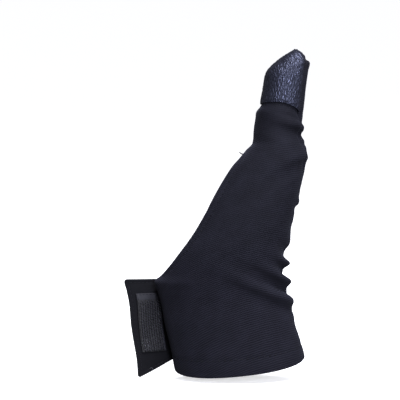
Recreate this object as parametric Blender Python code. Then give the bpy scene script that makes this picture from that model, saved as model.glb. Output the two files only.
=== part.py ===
"""Bowling glove for the right thumb and wrist, in the shape that it has when it is worn.

The glove stands upright: its palm side faces -Y, its thumb side +X, and the thumb points up.
The origin is the middle of the wrist opening. All lengths are in metres.
"""

import math
from typing import NamedTuple

import bmesh
import bpy
import numpy as np

# Main form
HAND_HEIGHT = 0.1232  # wrist opening to the web of the thumb
THUMB_LENGTH = 0.0578  # web to thumb tip
WRIST_WIDTH = 0.0750
WRIST_DEPTH = 0.0440
HAND_THICKNESS = 0.0280  # at the edge of the palm opening
THUMB_WIDTH = 0.0245
THUMB_DEPTH = 0.0240
THUMB_OFFSET = 0.0227  # from the wrist's axis to the thumb's
OVAL_FULLNESS = 2.2  # 2 is an ellipse, and more is squarer

# Wrist opening
RIM_TILT = math.radians(11)  # the palm side hangs lower than the back
RIM_SLANT = math.radians(6)  # the thumb side lies higher
RIM_FADE = 0.030  # height over which the rows turn level

# Cloth, leather and seams
CLOTH_WALL = 0.0011
HEM_WALL = 0.0019  # the cloth folded on itself
HEM_WIDTH = 0.0050
LEATHER_WALL = 0.0013
SEAM_GAP = 0.0003
THUMB_SEAM = 0.0098  # how far the thumb's seam lies in front of its outer side
THUMB_SEAM_BACK = 0.0070  # how far its inner seam lies behind its inner side
SEAM_TURN = 0.030  # height over which both seams run out below the thumb
SEAM_TIP_TURN = 0.010  # height over which they run back to its sides at the tip

# Leather thumb cap
CAP_LENGTH = 0.0315  # its lower edge to the tip
CAP_DROP = 0.0060  # how far that edge falls towards the outer seam
CAP_CREST = 0.50  # where it is highest, as a share of the way round
CAP_FADE = 0.018

# Closure behind the little-finger side of the wrist
CLOSURE_HEIGHT = 0.0470  # top of the closed stretch
TAB_SET = 0.0160  # how far behind the wrist's edge the tab is sewn to the back panel
TAB_SET_FADE = 0.045  # height over which the back panel's edge comes back to the side
LAP = 0.0060  # how far the palm panel's end runs on under the back panel
LAP_TURN = 0.0090  # height over which it takes its full length
SINK_RUN = 0.0140  # length over which it dips under the tab
TAB_WALL = 0.0016
TAB_RISE = 0.0008  # how far the tab stands above the closed stretch at its seam
TAB_SLANT = 0.0007  # how much higher its free corner lies
TAB_ROOT_FOOT = 0.0044
TAB_FREE_FOOT = -0.0080
TAB_LENGTH = 0.0284  # seam to free edge, along its top
TAB_FOOT_LENGTH = 0.0341  # and along its foot
TAB_BEND = -0.20  # radians that it turns away from the wrist on the way
HOOK_WALL = 0.0008
HOOK_WIDTH = 0.0152
HOOK_MARGIN = 0.0048  # from the tab's free edge
HOOK_FOOT = 0.0064
HOOK_TOP_MARGIN = 0.0078  # from the tab's top

# Wrinkles
FOLD_DEPTH = 0.0020
FOLD_WIDTH = 0.0034
FOLD_ROUNDING = 0.0100  # length over which a fold turns as it crosses the thumb side

# Mesh
PALM_COLUMNS = 22
BACK_COLUMNS = 20
CAP_COLUMNS = 14
TAB_CELLS = 10
QUADRANT_SAMPLES = 40
PROBE = 0.0002  # step used to find the surface's normal

TIP_HALF_DEPTH = max(CLOTH_WALL, LEATHER_WALL) + SEAM_GAP
TIP_HEIGHT = HAND_HEIGHT + THUMB_LENGTH
CAP_HEIGHT = TIP_HEIGHT - CAP_LENGTH
TAB_TOP = CLOSURE_HEIGHT + TAB_RISE
HOOK_TOP = TAB_TOP - HOOK_TOP_MARGIN


class HandSection(NamedTuple):
    """A level section from the wrist to the web of the thumb."""

    height: float  # share of the table's stretch of the glove
    ulnar: float  # little-finger side edge, share of WRIST_WIDTH
    radial: float  # thumb side, share of WRIST_WIDTH
    crest: float  # the thickest place, as a share of the way across
    middle: float  # middle of the depth, share of WRIST_DEPTH
    front: float  # half depth on the palm side, share of WRIST_DEPTH
    back: float  # half depth on the back of the hand, share of WRIST_DEPTH
    gape: float  # half gap at the ulnar edge, share of half HAND_THICKNESS


class ThumbSection(NamedTuple):
    """A level section of the thumb, closed all round."""

    height: float  # share of THUMB_LENGTH
    ulnar: float  # palm-side edge, share of THUMB_WIDTH
    radial: float  # outer edge, share of THUMB_WIDTH
    middle: float  # share of THUMB_DEPTH
    front: float  # inner half depth, share of half THUMB_DEPTH
    back: float


class Fold(NamedTuple):
    """A wrinkle that starts at the thumb side and runs across the front and the back."""

    height: float  # at the thumb side, share of TIP_HEIGHT
    rise: float  # climb towards the palm, per unit of width
    front_reach: float  # share of WRIST_WIDTH
    back_reach: float
    width: float  # share of FOLD_WIDTH
    lift: float  # share of FOLD_DEPTH, and negative for a hollow


# From the wrist opening to the top of the closure
WRIST_SECTIONS = (
    HandSection(-0.262, -0.480, 0.545, 0.50, 0.00, 0.500, 0.500, 0.00),
    HandSection(0.000, -0.506, 0.518, 0.50, 0.00, 0.500, 0.495, 0.00),
    HandSection(0.281, -0.545, 0.474, 0.51, 0.00, 0.490, 0.480, 0.00),
    HandSection(0.501, -0.578, 0.430, 0.52, 0.00, 0.483, 0.470, 0.00),
    HandSection(0.705, -0.600, 0.405, 0.53, 0.00, 0.480, 0.462, 0.00),
    HandSection(0.899, -0.634, 0.384, 0.54, -0.01, 0.486, 0.456, 0.00),
    HandSection(1.000, -0.655, 0.371, 0.55, -0.02, 0.492, 0.455, 0.00),
)

# From there to the web of the thumb
PALM_SECTIONS = (
    HandSection(0.054, -0.602, 0.365, 0.55, -0.03, 0.498, 0.456, 0.36),
    HandSection(0.143, -0.528, 0.363, 0.55, -0.05, 0.506, 0.462, 0.72),
    HandSection(0.263, -0.437, 0.368, 0.55, -0.07, 0.512, 0.470, 0.92),
    HandSection(0.376, -0.355, 0.389, 0.55, -0.08, 0.505, 0.470, 1.00),
    HandSection(0.575, -0.238, 0.438, 0.54, -0.09, 0.475, 0.450, 0.98),
    HandSection(0.753, -0.140, 0.481, 0.53, -0.10, 0.432, 0.415, 0.82),
    HandSection(0.874, -0.060, 0.506, 0.51, -0.11, 0.396, 0.382, 0.60),
    HandSection(0.948, 0.008, 0.522, 0.50, -0.11, 0.375, 0.362, 0.34),
    HandSection(1.000, 0.055, 0.510, 0.50, -0.11, 0.356, 0.344, 0.00),
)

THUMB_SECTIONS = (
    ThumbSection(0.068, -0.625, 0.595, -0.20, 1.26, 1.22),
    ThumbSection(0.171, -0.600, 0.548, -0.21, 1.15, 1.12),
    ThumbSection(0.302, -0.550, 0.555, -0.21, 1.07, 1.04),
    ThumbSection(0.459, -0.450, 0.592, -0.22, 1.02, 0.99),
    ThumbSection(0.615, -0.380, 0.634, -0.22, 1.00, 0.95),
    ThumbSection(0.732, -0.335, 0.668, -0.23, 0.93, 0.87),
    ThumbSection(0.790, -0.275, 0.690, -0.23, 0.85, 0.79),
    ThumbSection(0.849, -0.140, 0.725, -0.24, 0.71, 0.66),
    ThumbSection(0.907, 0.025, 0.650, -0.24, 0.54, 0.49),
    ThumbSection(0.956, 0.198, 0.555, -0.25, 0.33, 0.29),
    ThumbSection(0.985, 0.302, 0.465, -0.25, 0.14, 0.13),
    ThumbSection(1.000, 0.340, 0.440, -0.25, 0.00, 0.00),
)

FOLDS = (
    Fold(0.172, 0.40, 0.30, 0.26, 0.90, -0.30),
    Fold(0.197, 0.44, 0.66, 0.30, 0.95, 0.90),
    Fold(0.231, 0.50, 0.42, 0.26, 0.95, -0.95),
    Fold(0.258, 0.55, 0.32, 0.26, 0.70, 1.05),
    Fold(0.291, 0.50, 0.28, 0.22, 1.00, -1.30),
    Fold(0.318, 0.42, 0.28, 0.22, 0.70, 1.05),
    Fold(0.351, 0.40, 0.26, 0.22, 1.15, -0.95),
    Fold(0.386, 0.30, 0.22, 0.20, 1.60, 0.65),
    Fold(0.493, 0.30, 0.16, 0.14, 0.70, -0.45),
    Fold(0.512, 0.30, 0.16, 0.14, 0.70, 0.50),
    Fold(0.672, -0.45, 0.55, 0.12, 1.20, 0.40),
    Fold(0.726, 0.40, 0.24, 0.16, 0.80, -0.60),
    Fold(0.744, 0.40, 0.34, 0.16, 0.75, 0.50),
)

# Heights that a row of the mesh falls on, and the rows up to each from the one below
ROW_ZONES = (
    (0.6 * CLOSURE_HEIGHT, 6),
    (CLOSURE_HEIGHT, 10),
    (0.63 * HAND_HEIGHT, 15),
    (HAND_HEIGHT, 9),
    (CAP_HEIGHT, 8),
    (CAP_HEIGHT + 0.55 * CAP_LENGTH, 5),
    (TIP_HEIGHT - 0.02 * CAP_LENGTH, 6),
    (TIP_HEIGHT, 1),
)


class Curve:
    """A smooth curve through knots that never overshoots them."""

    def __init__(self, knots, values):
        self.knots = np.asarray(knots, float)
        self.values = np.asarray(values, float)
        steps = np.diff(self.knots)
        slopes = np.diff(self.values) / steps
        self.tangents = np.zeros(len(self.knots))
        self.tangents[[0, -1]] = slopes[[0, -1]]
        for i in range(1, len(self.knots) - 1):
            if slopes[i - 1] * slopes[i] > 0:
                near = 2 * steps[i] + steps[i - 1]
                far = steps[i] + 2 * steps[i - 1]
                self.tangents[i] = (near + far) / (
                    near / slopes[i - 1] + far / slopes[i]
                )

    def at(self, knot):
        """The value there, held level past both ends."""
        knot = min(max(knot, self.knots[0]), self.knots[-1])
        i = min(int(np.searchsorted(self.knots, knot, "right")) - 1, len(self.knots) - 2)
        step = self.knots[i + 1] - self.knots[i]
        t = (knot - self.knots[i]) / step
        return (
            (1 + 2 * t) * (1 - t) ** 2 * self.values[i]
            + t * (1 - t) ** 2 * step * self.tangents[i]
            + t * t * (3 - 2 * t) * self.values[i + 1]
            + t * t * (t - 1) * step * self.tangents[i + 1]
        )


class Section:
    """The outline of the glove at one height, measured along its girth from the thumb side."""

    def __init__(self, ulnar, radial, crest, middle, front, back, gape):
        across = ulnar + crest * (radial - ulnar)
        self.arms = {
            side: self.arm(ulnar, radial, across, middle, side, depth, gape)
            for side, depth in ((-1, front), (1, back))
        }
        self.lengths = {
            side: np.concatenate(
                [[0], np.cumsum(np.linalg.norm(np.diff(arm, axis=0), axis=1))]
            )
            for side, arm in self.arms.items()
        }

    @staticmethod
    def arm(ulnar, radial, across, middle, side, depth, gape):
        """Points from the thumb side to the ulnar edge, over the palm or over the back."""
        turn = np.linspace(0, math.pi / 2, QUADRANT_SAMPLES)
        power = 2 / OVAL_FULLNESS
        outer_x = across + (radial - across) * np.cos(turn) ** power
        outer_y = depth * np.sin(turn) ** power
        # The inner quadrant stops where the depth has shrunk to the gape.
        stop = math.acos(min(gape / depth, 1) ** (1 / power))
        turn = stop * np.sin(turn[1:])
        inner_x = across - (across - ulnar) * (np.sin(turn) / math.sin(stop)) ** power
        inner_y = depth * np.cos(turn) ** power
        x = np.concatenate([outer_x, inner_x])
        y = np.concatenate([outer_y, inner_y])
        return np.stack([x, middle + side * y], axis=1)

    def reach(self, side):
        """Length of one arm."""
        return self.lengths[side][-1]

    def point(self, girth):
        """(x, y) at a length along the girth, forwards over the palm and backwards over the back."""
        if girth > self.reach(-1):
            girth -= self.reach(-1) + self.reach(1)
        elif girth < -self.reach(1):
            girth += self.reach(-1) + self.reach(1)
        side = -1 if girth >= 0 else 1
        lengths, arm = self.lengths[side], self.arms[side]
        return np.array([np.interp(abs(girth), lengths, arm[:, k]) for k in range(2)])


def section_curves():
    """A curve of each of a Section's values by height, in metres."""
    inner_depth = THUMB_DEPTH / 2 - TIP_HALF_DEPTH
    stretches = (
        (WRIST_SECTIONS, 0.0, CLOSURE_HEIGHT),
        (PALM_SECTIONS, CLOSURE_HEIGHT, HAND_HEIGHT - CLOSURE_HEIGHT),
    )
    rows = [
        (
            foot + s.height * length,
            s.ulnar * WRIST_WIDTH,
            s.radial * WRIST_WIDTH,
            s.crest,
            s.middle * WRIST_DEPTH,
            s.front * WRIST_DEPTH,
            s.back * WRIST_DEPTH,
            s.gape * HAND_THICKNESS / 2,
        )
        for table, foot, length in stretches
        for s in table
    ] + [
        (
            HAND_HEIGHT + s.height * THUMB_LENGTH,
            THUMB_OFFSET + s.ulnar * THUMB_WIDTH,
            THUMB_OFFSET + s.radial * THUMB_WIDTH,
            0.5,
            s.middle * THUMB_DEPTH,
            TIP_HALF_DEPTH + s.front * inner_depth,
            TIP_HALF_DEPTH + s.back * inner_depth,
            0.0,
        )
        for s in THUMB_SECTIONS
    ]
    heights = [row[0] for row in rows]
    return [Curve(heights, column) for column in list(zip(*rows))[1:]]


SECTION_CURVES = section_curves()
SECTIONS = {}


def section_at(height):
    """The glove's section at a height, kept so that a row of points works it out once."""
    key = round(height, 7)
    if key not in SECTIONS:
        SECTIONS[key] = Section(*(curve.at(key) for curve in SECTION_CURVES))
    return SECTIONS[key]


def fade(share):
    """1 at 0 falling smoothly to 0 at 1 and past it."""
    share = min(abs(share), 1.0)
    return (1 - share * share) ** 2


def ramp(share):
    """0 up to 0, rising smoothly to 1 at 1 and past it."""
    share = min(max(share, 0.0), 1.0)
    return share * share * (3 - 2 * share)


def wrinkle(height, girth):
    """How far the folds lift the cloth there."""
    total = 0.0
    run = math.hypot(girth, FOLD_ROUNDING) - FOLD_ROUNDING
    for fold in FOLDS:
        reach = (fold.front_reach if girth > 0 else fold.back_reach) * WRIST_WIDTH
        line = fold.height * TIP_HEIGHT + fold.rise * run
        near = math.exp(-(abs((height - line) / (fold.width * FOLD_WIDTH)) ** 3))
        total += fold.lift * FOLD_DEPTH * near * fade(girth / reach)
    return total


def bare_point(height, girth):
    """A point of the outer surface before the wrinkles."""
    x, y = section_at(height).point(girth)
    return np.array([x, y, height])


def outward(height, girth):
    """The surface's unit normal, pointing away from the hand."""
    along = bare_point(height, girth + PROBE) - bare_point(height, girth - PROBE)
    up = bare_point(height + PROBE, girth) - bare_point(height - PROBE, girth)
    normal = np.cross(up, along)
    return normal / np.linalg.norm(normal)


def glove_point(height, girth, depth=0.0):
    """A point at a depth under the wrinkled outer surface."""
    lift = wrinkle(height, girth) - depth
    return bare_point(height, girth) + lift * outward(height, girth)


def row_heights(low, high):
    """The heights of the mesh rows from low to high, both of them on a zone's edge."""
    heights, start = [0.0], 0.0
    for end, rows in ROW_ZONES:
        heights += [start + (end - start) * (i + 1) / rows for i in range(rows)]
        start = end
    return [h for h in heights if low - PROBE / 2 <= h <= high + PROBE / 2]


def rim_shift(height, girth):
    """How far a row is moved up or down there, so that the lowest row follows the wrist opening."""
    x, y = section_at(0.0).point(girth)
    shift = y * math.tan(RIM_TILT) + x * math.tan(RIM_SLANT)
    return shift * (1 - ramp(height / RIM_FADE))


def cap_shift(height, share):
    """How far a row is moved down there, so that a row follows the leather's curved lower edge."""
    fall = CAP_DROP * max(0.0, 1 - share / CAP_CREST) ** 2
    return -fall * (1 - ramp(abs(height - CAP_HEIGHT) / CAP_FADE))


def tip_turn(height):
    """1 along the thumb, falling to 0 at the tip, where both seams lie on the thumb's sides."""
    return ramp((TIP_HEIGHT - height) / SEAM_TIP_TURN)


def outer_seam(height):
    """Girth of the seam along the thumb side: in front of the edge on the thumb, and on it below."""
    below = ramp((height - HAND_HEIGHT + SEAM_TURN) / SEAM_TURN)
    return THUMB_SEAM * below * tip_turn(height)


def inner_seam(height):
    """How far behind the thumb's inner edge its other seam lies: nothing at the web."""
    above = ramp((height - HAND_HEIGHT) / SEAM_TURN)
    return THUMB_SEAM_BACK * above * tip_turn(height)


def palm_end(height):
    """Girth of the palm panel's far edge: the thumb's inner seam, the palm opening and the lap."""
    lap = (TAB_SET + LAP) * ramp((CLOSURE_HEIGHT - height) / LAP_TURN)
    return section_at(height).reach(-1) + inner_seam(height) + lap - SEAM_GAP / 2


def back_end(height):
    """Girth of the back panel's far edge: the thumb's inner seam, the opening and the tab's seam."""
    setting = TAB_SET * (1 - ramp((height - TAB_TOP) / TAB_SET_FADE))
    return inner_seam(height) + setting + SEAM_GAP / 2 - section_at(height).reach(1)


def hem_depth(height, from_edge):
    """Thickness of a panel: the cloth is folded double along the palm opening and the wrist."""
    opening = TAB_TOP < height < HAND_HEIGHT - HEM_WIDTH
    along_opening = opening and from_edge < HEM_WIDTH
    along_wrist = height < HEM_WIDTH and from_edge > 2 * LAP
    return HEM_WALL if along_opening or along_wrist else CLOTH_WALL


def lap_sink(height, girth):
    """How far the palm panel dips below the glove's outer surface to pass under the tab."""
    start = section_at(height).reach(-1) + TAB_SET - SINK_RUN
    return (TAB_WALL + SEAM_GAP) * ramp((girth - start) / (SINK_RUN - CLOTH_WALL))


def make_shell(name, columns, rows, place, material):
    """A closed shell from a flat grid. place gives a point for a column, a row and a face."""
    mesh = bmesh.new()
    bmesh.ops.create_grid(mesh, x_segments=columns, y_segments=rows, size=1.0)
    outer = list(mesh.verts)
    made = bmesh.ops.extrude_face_region(mesh, geom=mesh.faces[:], use_keep_orig=True)
    inner = [g for g in made["geom"] if isinstance(g, bmesh.types.BMVert)]
    for verts, inside in ((outer, False), (inner, True)):
        for vert in verts:
            column = round((vert.co.x + 1) / 2 * columns)
            row = round((vert.co.y + 1) / 2 * rows)
            vert.co = place(column / columns, row, inside)
    bmesh.ops.recalc_face_normals(mesh, faces=mesh.faces)
    if mesh.calc_volume(signed=True) < 0:
        bmesh.ops.reverse_faces(mesh, faces=mesh.faces)
    data = bpy.data.meshes.new(name)
    mesh.to_mesh(data)
    mesh.free()
    data.shade_smooth()
    data.set_sharp_from_angle(angle=math.radians(50))
    data.materials.append(material)
    shell = bpy.data.objects.new(name, data)
    bpy.context.scene.collection.objects.link(shell)
    return shell


def make_material(name, colour, roughness, sheen=0.0):
    """A plain finish."""
    material = bpy.data.materials.new(name)
    material.use_nodes = True
    finish = material.node_tree.nodes["Principled BSDF"]
    finish.inputs["Base Color"].default_value = (*colour, 1.0)
    finish.inputs["Roughness"].default_value = roughness
    finish.inputs["Sheen Weight"].default_value = sheen
    return material


def make_palm_panel(material):
    """Front of the glove: the thumb below its cap, the ball of the thumb and the wrist."""
    heights = row_heights(0.0, CAP_HEIGHT)

    def place(share, row, inside):
        height = heights[row]
        start = outer_seam(height) + SEAM_GAP / 2
        girth = start + share * (palm_end(height) - start)
        level = height + rim_shift(height, girth) + cap_shift(height, share)
        if row == len(heights) - 1:
            level -= SEAM_GAP / 2
        depth = lap_sink(height, girth) if height < CLOSURE_HEIGHT else 0.0
        if inside:
            depth += hem_depth(height, palm_end(height) - girth)
        start = outer_seam(level) + SEAM_GAP / 2
        return glove_point(level, start + share * (palm_end(level) - start), depth)

    return make_shell("palm_panel", PALM_COLUMNS, len(heights) - 1, place, material)


def make_back_panel(material):
    """Back of the glove, from the wrist to the thumb's tip."""
    heights = row_heights(0.0, TIP_HEIGHT)

    def place(share, row, inside):
        height = heights[row]
        start = outer_seam(height) - SEAM_GAP / 2
        girth = start + share * (back_end(height) - start)
        level = height + rim_shift(height, girth)
        depth = hem_depth(height, girth - back_end(height)) if inside else 0.0
        start = outer_seam(level) - SEAM_GAP / 2
        return glove_point(level, start + share * (back_end(level) - start), depth)

    return make_shell("back_panel", BACK_COLUMNS, len(heights) - 1, place, material)


def make_thumb_cap(material):
    """Leather over the pad and the tip of the thumb."""
    heights = row_heights(CAP_HEIGHT, TIP_HEIGHT)

    def place(share, row, inside):
        level = heights[row] + cap_shift(heights[row], share)
        if row == 0:
            level += SEAM_GAP / 2
        start = outer_seam(level) + SEAM_GAP / 2
        depth = LEATHER_WALL if inside else 0.0
        return glove_point(level, start + share * (palm_end(level) - start), depth)

    return make_shell("thumb_cap", CAP_COLUMNS, len(heights) - 1, place, material)


def tab_length(rise):
    """Length of the tab from its seam, between its foot at 0 and its top at 1."""
    return TAB_FOOT_LENGTH + (TAB_LENGTH - TAB_FOOT_LENGTH) * rise


def tab_point(height, run, depth):
    """A point of the tab, at a run from its seam and a depth under its outer face."""
    level = min(height, CLOSURE_HEIGHT)
    seam = back_end(level) - 1.5 * SEAM_GAP
    root = bare_point(level, seam)[:2]
    ahead = bare_point(level, seam - PROBE)[:2] - root
    angle = math.atan2(ahead[1], ahead[0])
    turned = TAB_BEND * run / TAB_LENGTH
    # A run along an arc is its chord, at half the angle that the arc turns.
    chord = run * np.sinc(turned / 2 / math.pi)
    towards = angle + turned / 2
    x, y = root + chord * np.array([math.cos(towards), math.sin(towards)])
    facing = angle + turned + math.pi / 2
    return np.array([x + depth * math.cos(facing), y + depth * math.sin(facing), height])


def make_closure_tab(material):
    """The tab that is sewn to the back panel and stands open beside the wrist."""

    def place(share, row, inside):
        foot = TAB_ROOT_FOOT + (TAB_FREE_FOOT - TAB_ROOT_FOOT) * share
        rise = row / TAB_CELLS
        height = foot + (TAB_TOP + TAB_SLANT * share - foot) * rise
        return tab_point(height, tab_length(rise) * share, TAB_WALL * inside)

    return make_shell("closure_tab", TAB_CELLS, TAB_CELLS, place, material)


def make_hook_patch(material):
    """Hook tape on the face of the tab that closes on the palm panel."""

    def place(share, row, inside):
        height = HOOK_FOOT + (HOOK_TOP - HOOK_FOOT) * row / TAB_CELLS
        rise = (height - TAB_ROOT_FOOT) / (TAB_TOP - TAB_ROOT_FOOT)
        run = tab_length(rise) - HOOK_MARGIN - HOOK_WIDTH * (1 - share)
        return tab_point(height, run, TAB_WALL + SEAM_GAP + HOOK_WALL * inside)

    return make_shell("hook_patch", TAB_CELLS, TAB_CELLS, place, material)


def main():
    """Clears the scene and makes the glove."""
    for thing in list(bpy.data.objects):
        bpy.data.objects.remove(thing, do_unlink=True)
    cloth = make_material("stretch_cloth", (0.010, 0.010, 0.014), 0.82, 0.3)
    make_palm_panel(cloth)
    make_back_panel(cloth)
    make_thumb_cap(make_material("grained_leather", (0.016, 0.016, 0.024), 0.36))
    make_closure_tab(cloth)
    make_hook_patch(make_material("hook_tape", (0.016, 0.016, 0.024), 0.50))


main()
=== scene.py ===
"""Looks of the bowling thumb glove: stretch cloth, crackled leather, hook tape and sewing.

The glove stands upright as it is worn: palm side to -Y, thumb side to +X, thumb up. The form
repeats the solid model's own sizes, in metres, so each piece lies where its solid does. Only the
thumb's seam lies a little nearer the outer side.
"""

import logging
import math
from dataclasses import dataclass, field
from enum import Enum
from typing import NamedTuple, Sequence

import bmesh
import bpy
import numpy as np
from mathutils import Matrix, Vector, noise


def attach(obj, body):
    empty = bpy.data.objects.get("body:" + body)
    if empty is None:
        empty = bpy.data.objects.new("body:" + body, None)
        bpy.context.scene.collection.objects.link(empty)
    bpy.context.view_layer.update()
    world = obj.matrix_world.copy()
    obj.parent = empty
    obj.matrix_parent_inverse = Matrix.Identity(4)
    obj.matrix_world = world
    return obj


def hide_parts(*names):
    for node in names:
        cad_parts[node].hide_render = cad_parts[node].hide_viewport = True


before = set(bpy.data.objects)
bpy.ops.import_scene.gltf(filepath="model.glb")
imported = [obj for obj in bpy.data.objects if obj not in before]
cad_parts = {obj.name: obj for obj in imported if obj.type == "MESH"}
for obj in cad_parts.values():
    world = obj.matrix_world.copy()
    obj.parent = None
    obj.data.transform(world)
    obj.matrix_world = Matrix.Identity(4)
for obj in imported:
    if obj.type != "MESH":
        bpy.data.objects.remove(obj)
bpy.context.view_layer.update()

LOG = logging.getLogger("glove")
MM = 0.001
BODY = "root"
LAY = "lay"  # place on the cloth in millimetres: round the glove, across the knit's courses
WEAR_AND_HIGHLIGHT = "wear"  # 0 on fresh cloth to 1 where edges have worn pale; on the palm panel it also holds a painted highlight on the folds' ridges
RELIEF = "relief"  # 0 in the leather's cracks to 1 on its pebbles; 1 on bare tape
TAUT_AND_SHADE = "taut_and_shade"  # 0 where the knit lies slack to 1 where it is stretched smooth; it also sets where the knit is painted darker, as shade
MIX_A, MIX_B, MIX_RESULT = 6, 7, 2  # sockets of a Mix node that mixes colours


class Slot(Enum):
    """The record's material slots."""

    CLOTH = "stretch_cloth"
    LEATHER = "grained_leather"
    HOOK = "hook_tape"


class Held(Enum):
    """How a sheet is held."""

    STRETCHED = "stretched"
    HUNG = "hung"


# The glove's form


class HandSection(NamedTuple):
    """A level section from the wrist to the web of the thumb."""

    height: float  # share of the stretch that its table covers
    ulnar: float  # place of the little-finger side, as a share of the wrist's width
    radial: float  # place of the thumb side, likewise
    crest: float  # where it is deepest, as a share of its own width
    middle: float  # place of its middle line, as a share of the wrist's depth
    front: float  # depth over the palm, likewise
    back: float  # depth over the glove's back, likewise
    gape: float  # how far the two sides stand apart, as a share of the widest opening


class ThumbSection(NamedTuple):
    """A level section of the thumb."""

    height: float  # share of the thumb's length
    ulnar: float  # place of the side towards the fingers, as a share of the thumb's width
    radial: float  # place of the outer side, likewise
    middle: float  # place of its middle line, as a share of the thumb's depth
    front: float  # shares of the half depth that the walls leave
    back: float


class Fold(NamedTuple):
    """A wrinkle that starts at the thumb side and runs across the front and the back."""

    height: float  # where it starts, as a share of the tip's height
    rise: float  # its slope across the glove
    front_reach: float  # share of the wrist's width, over the palm
    back_reach: float  # likewise, over the glove's back
    width: float  # share of the form's fold width
    lift: float  # share of the form's fold depth, negative where it dips
    onset: float = 0.0  # share of the wrist's width over which it takes shape


WRIST_SECTIONS = (
    HandSection(-0.262, -0.480, 0.545, 0.50, 0.00, 0.500, 0.500, 0.00),
    HandSection(0.000, -0.506, 0.518, 0.50, 0.00, 0.500, 0.495, 0.00),
    HandSection(0.281, -0.545, 0.474, 0.51, 0.00, 0.490, 0.480, 0.00),
    HandSection(0.501, -0.578, 0.430, 0.52, 0.00, 0.483, 0.470, 0.00),
    HandSection(0.705, -0.600, 0.405, 0.53, 0.00, 0.480, 0.462, 0.00),
    HandSection(0.899, -0.634, 0.384, 0.54, -0.01, 0.486, 0.456, 0.00),
    HandSection(1.000, -0.655, 0.371, 0.55, -0.02, 0.492, 0.455, 0.00),
)

PALM_SECTIONS = (
    HandSection(0.054, -0.602, 0.365, 0.55, -0.03, 0.498, 0.456, 0.36),
    HandSection(0.143, -0.528, 0.363, 0.55, -0.05, 0.506, 0.462, 0.72),
    HandSection(0.263, -0.437, 0.368, 0.55, -0.07, 0.512, 0.470, 0.92),
    HandSection(0.376, -0.355, 0.389, 0.55, -0.08, 0.505, 0.470, 1.00),
    HandSection(0.575, -0.238, 0.438, 0.54, -0.09, 0.475, 0.450, 0.98),
    HandSection(0.753, -0.140, 0.481, 0.53, -0.10, 0.432, 0.415, 0.82),
    HandSection(0.874, -0.060, 0.506, 0.51, -0.11, 0.396, 0.382, 0.60),
    HandSection(0.948, 0.008, 0.522, 0.50, -0.11, 0.375, 0.362, 0.34),
    HandSection(1.000, 0.055, 0.510, 0.50, -0.11, 0.356, 0.344, 0.00),
)

THUMB_SECTIONS = (
    ThumbSection(0.068, -0.625, 0.595, -0.20, 1.26, 1.22),
    ThumbSection(0.171, -0.600, 0.548, -0.21, 1.15, 1.12),
    ThumbSection(0.302, -0.550, 0.555, -0.21, 1.07, 1.04),
    ThumbSection(0.459, -0.450, 0.592, -0.22, 1.02, 0.99),
    ThumbSection(0.615, -0.380, 0.634, -0.22, 1.00, 0.95),
    ThumbSection(0.732, -0.335, 0.668, -0.23, 0.93, 0.87),
    ThumbSection(0.790, -0.275, 0.690, -0.23, 0.85, 0.79),
    ThumbSection(0.849, -0.140, 0.725, -0.24, 0.71, 0.66),
    ThumbSection(0.907, 0.025, 0.650, -0.24, 0.54, 0.49),
    ThumbSection(0.956, 0.198, 0.555, -0.25, 0.33, 0.29),
    ThumbSection(0.985, 0.302, 0.465, -0.25, 0.14, 0.13),
    ThumbSection(1.000, 0.340, 0.440, -0.25, 0.00, 0.00),
)

# The folds that the solids have
FOLDS = (
    Fold(0.172, 0.40, 0.30, 0.26, 0.90, -0.30),
    Fold(0.197, 0.44, 0.66, 0.30, 0.95, 0.90),
    Fold(0.231, 0.50, 0.42, 0.26, 0.95, -0.95),
    Fold(0.258, 0.55, 0.32, 0.26, 0.70, 1.05),
    Fold(0.291, 0.50, 0.28, 0.22, 1.00, -1.30),
    Fold(0.318, 0.42, 0.28, 0.22, 0.70, 1.05),
    Fold(0.351, 0.40, 0.26, 0.22, 1.15, -0.95),
    Fold(0.386, 0.30, 0.22, 0.20, 1.60, 0.65),
    Fold(0.493, 0.30, 0.16, 0.14, 0.70, -0.45),
    Fold(0.512, 0.30, 0.16, 0.14, 0.70, 0.50),
    Fold(0.672, -0.45, 0.55, 0.12, 1.20, 0.40),
    Fold(0.726, 0.40, 0.24, 0.16, 0.80, -0.60),
    Fold(0.744, 0.40, 0.34, 0.16, 0.75, 0.50),
)

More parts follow.
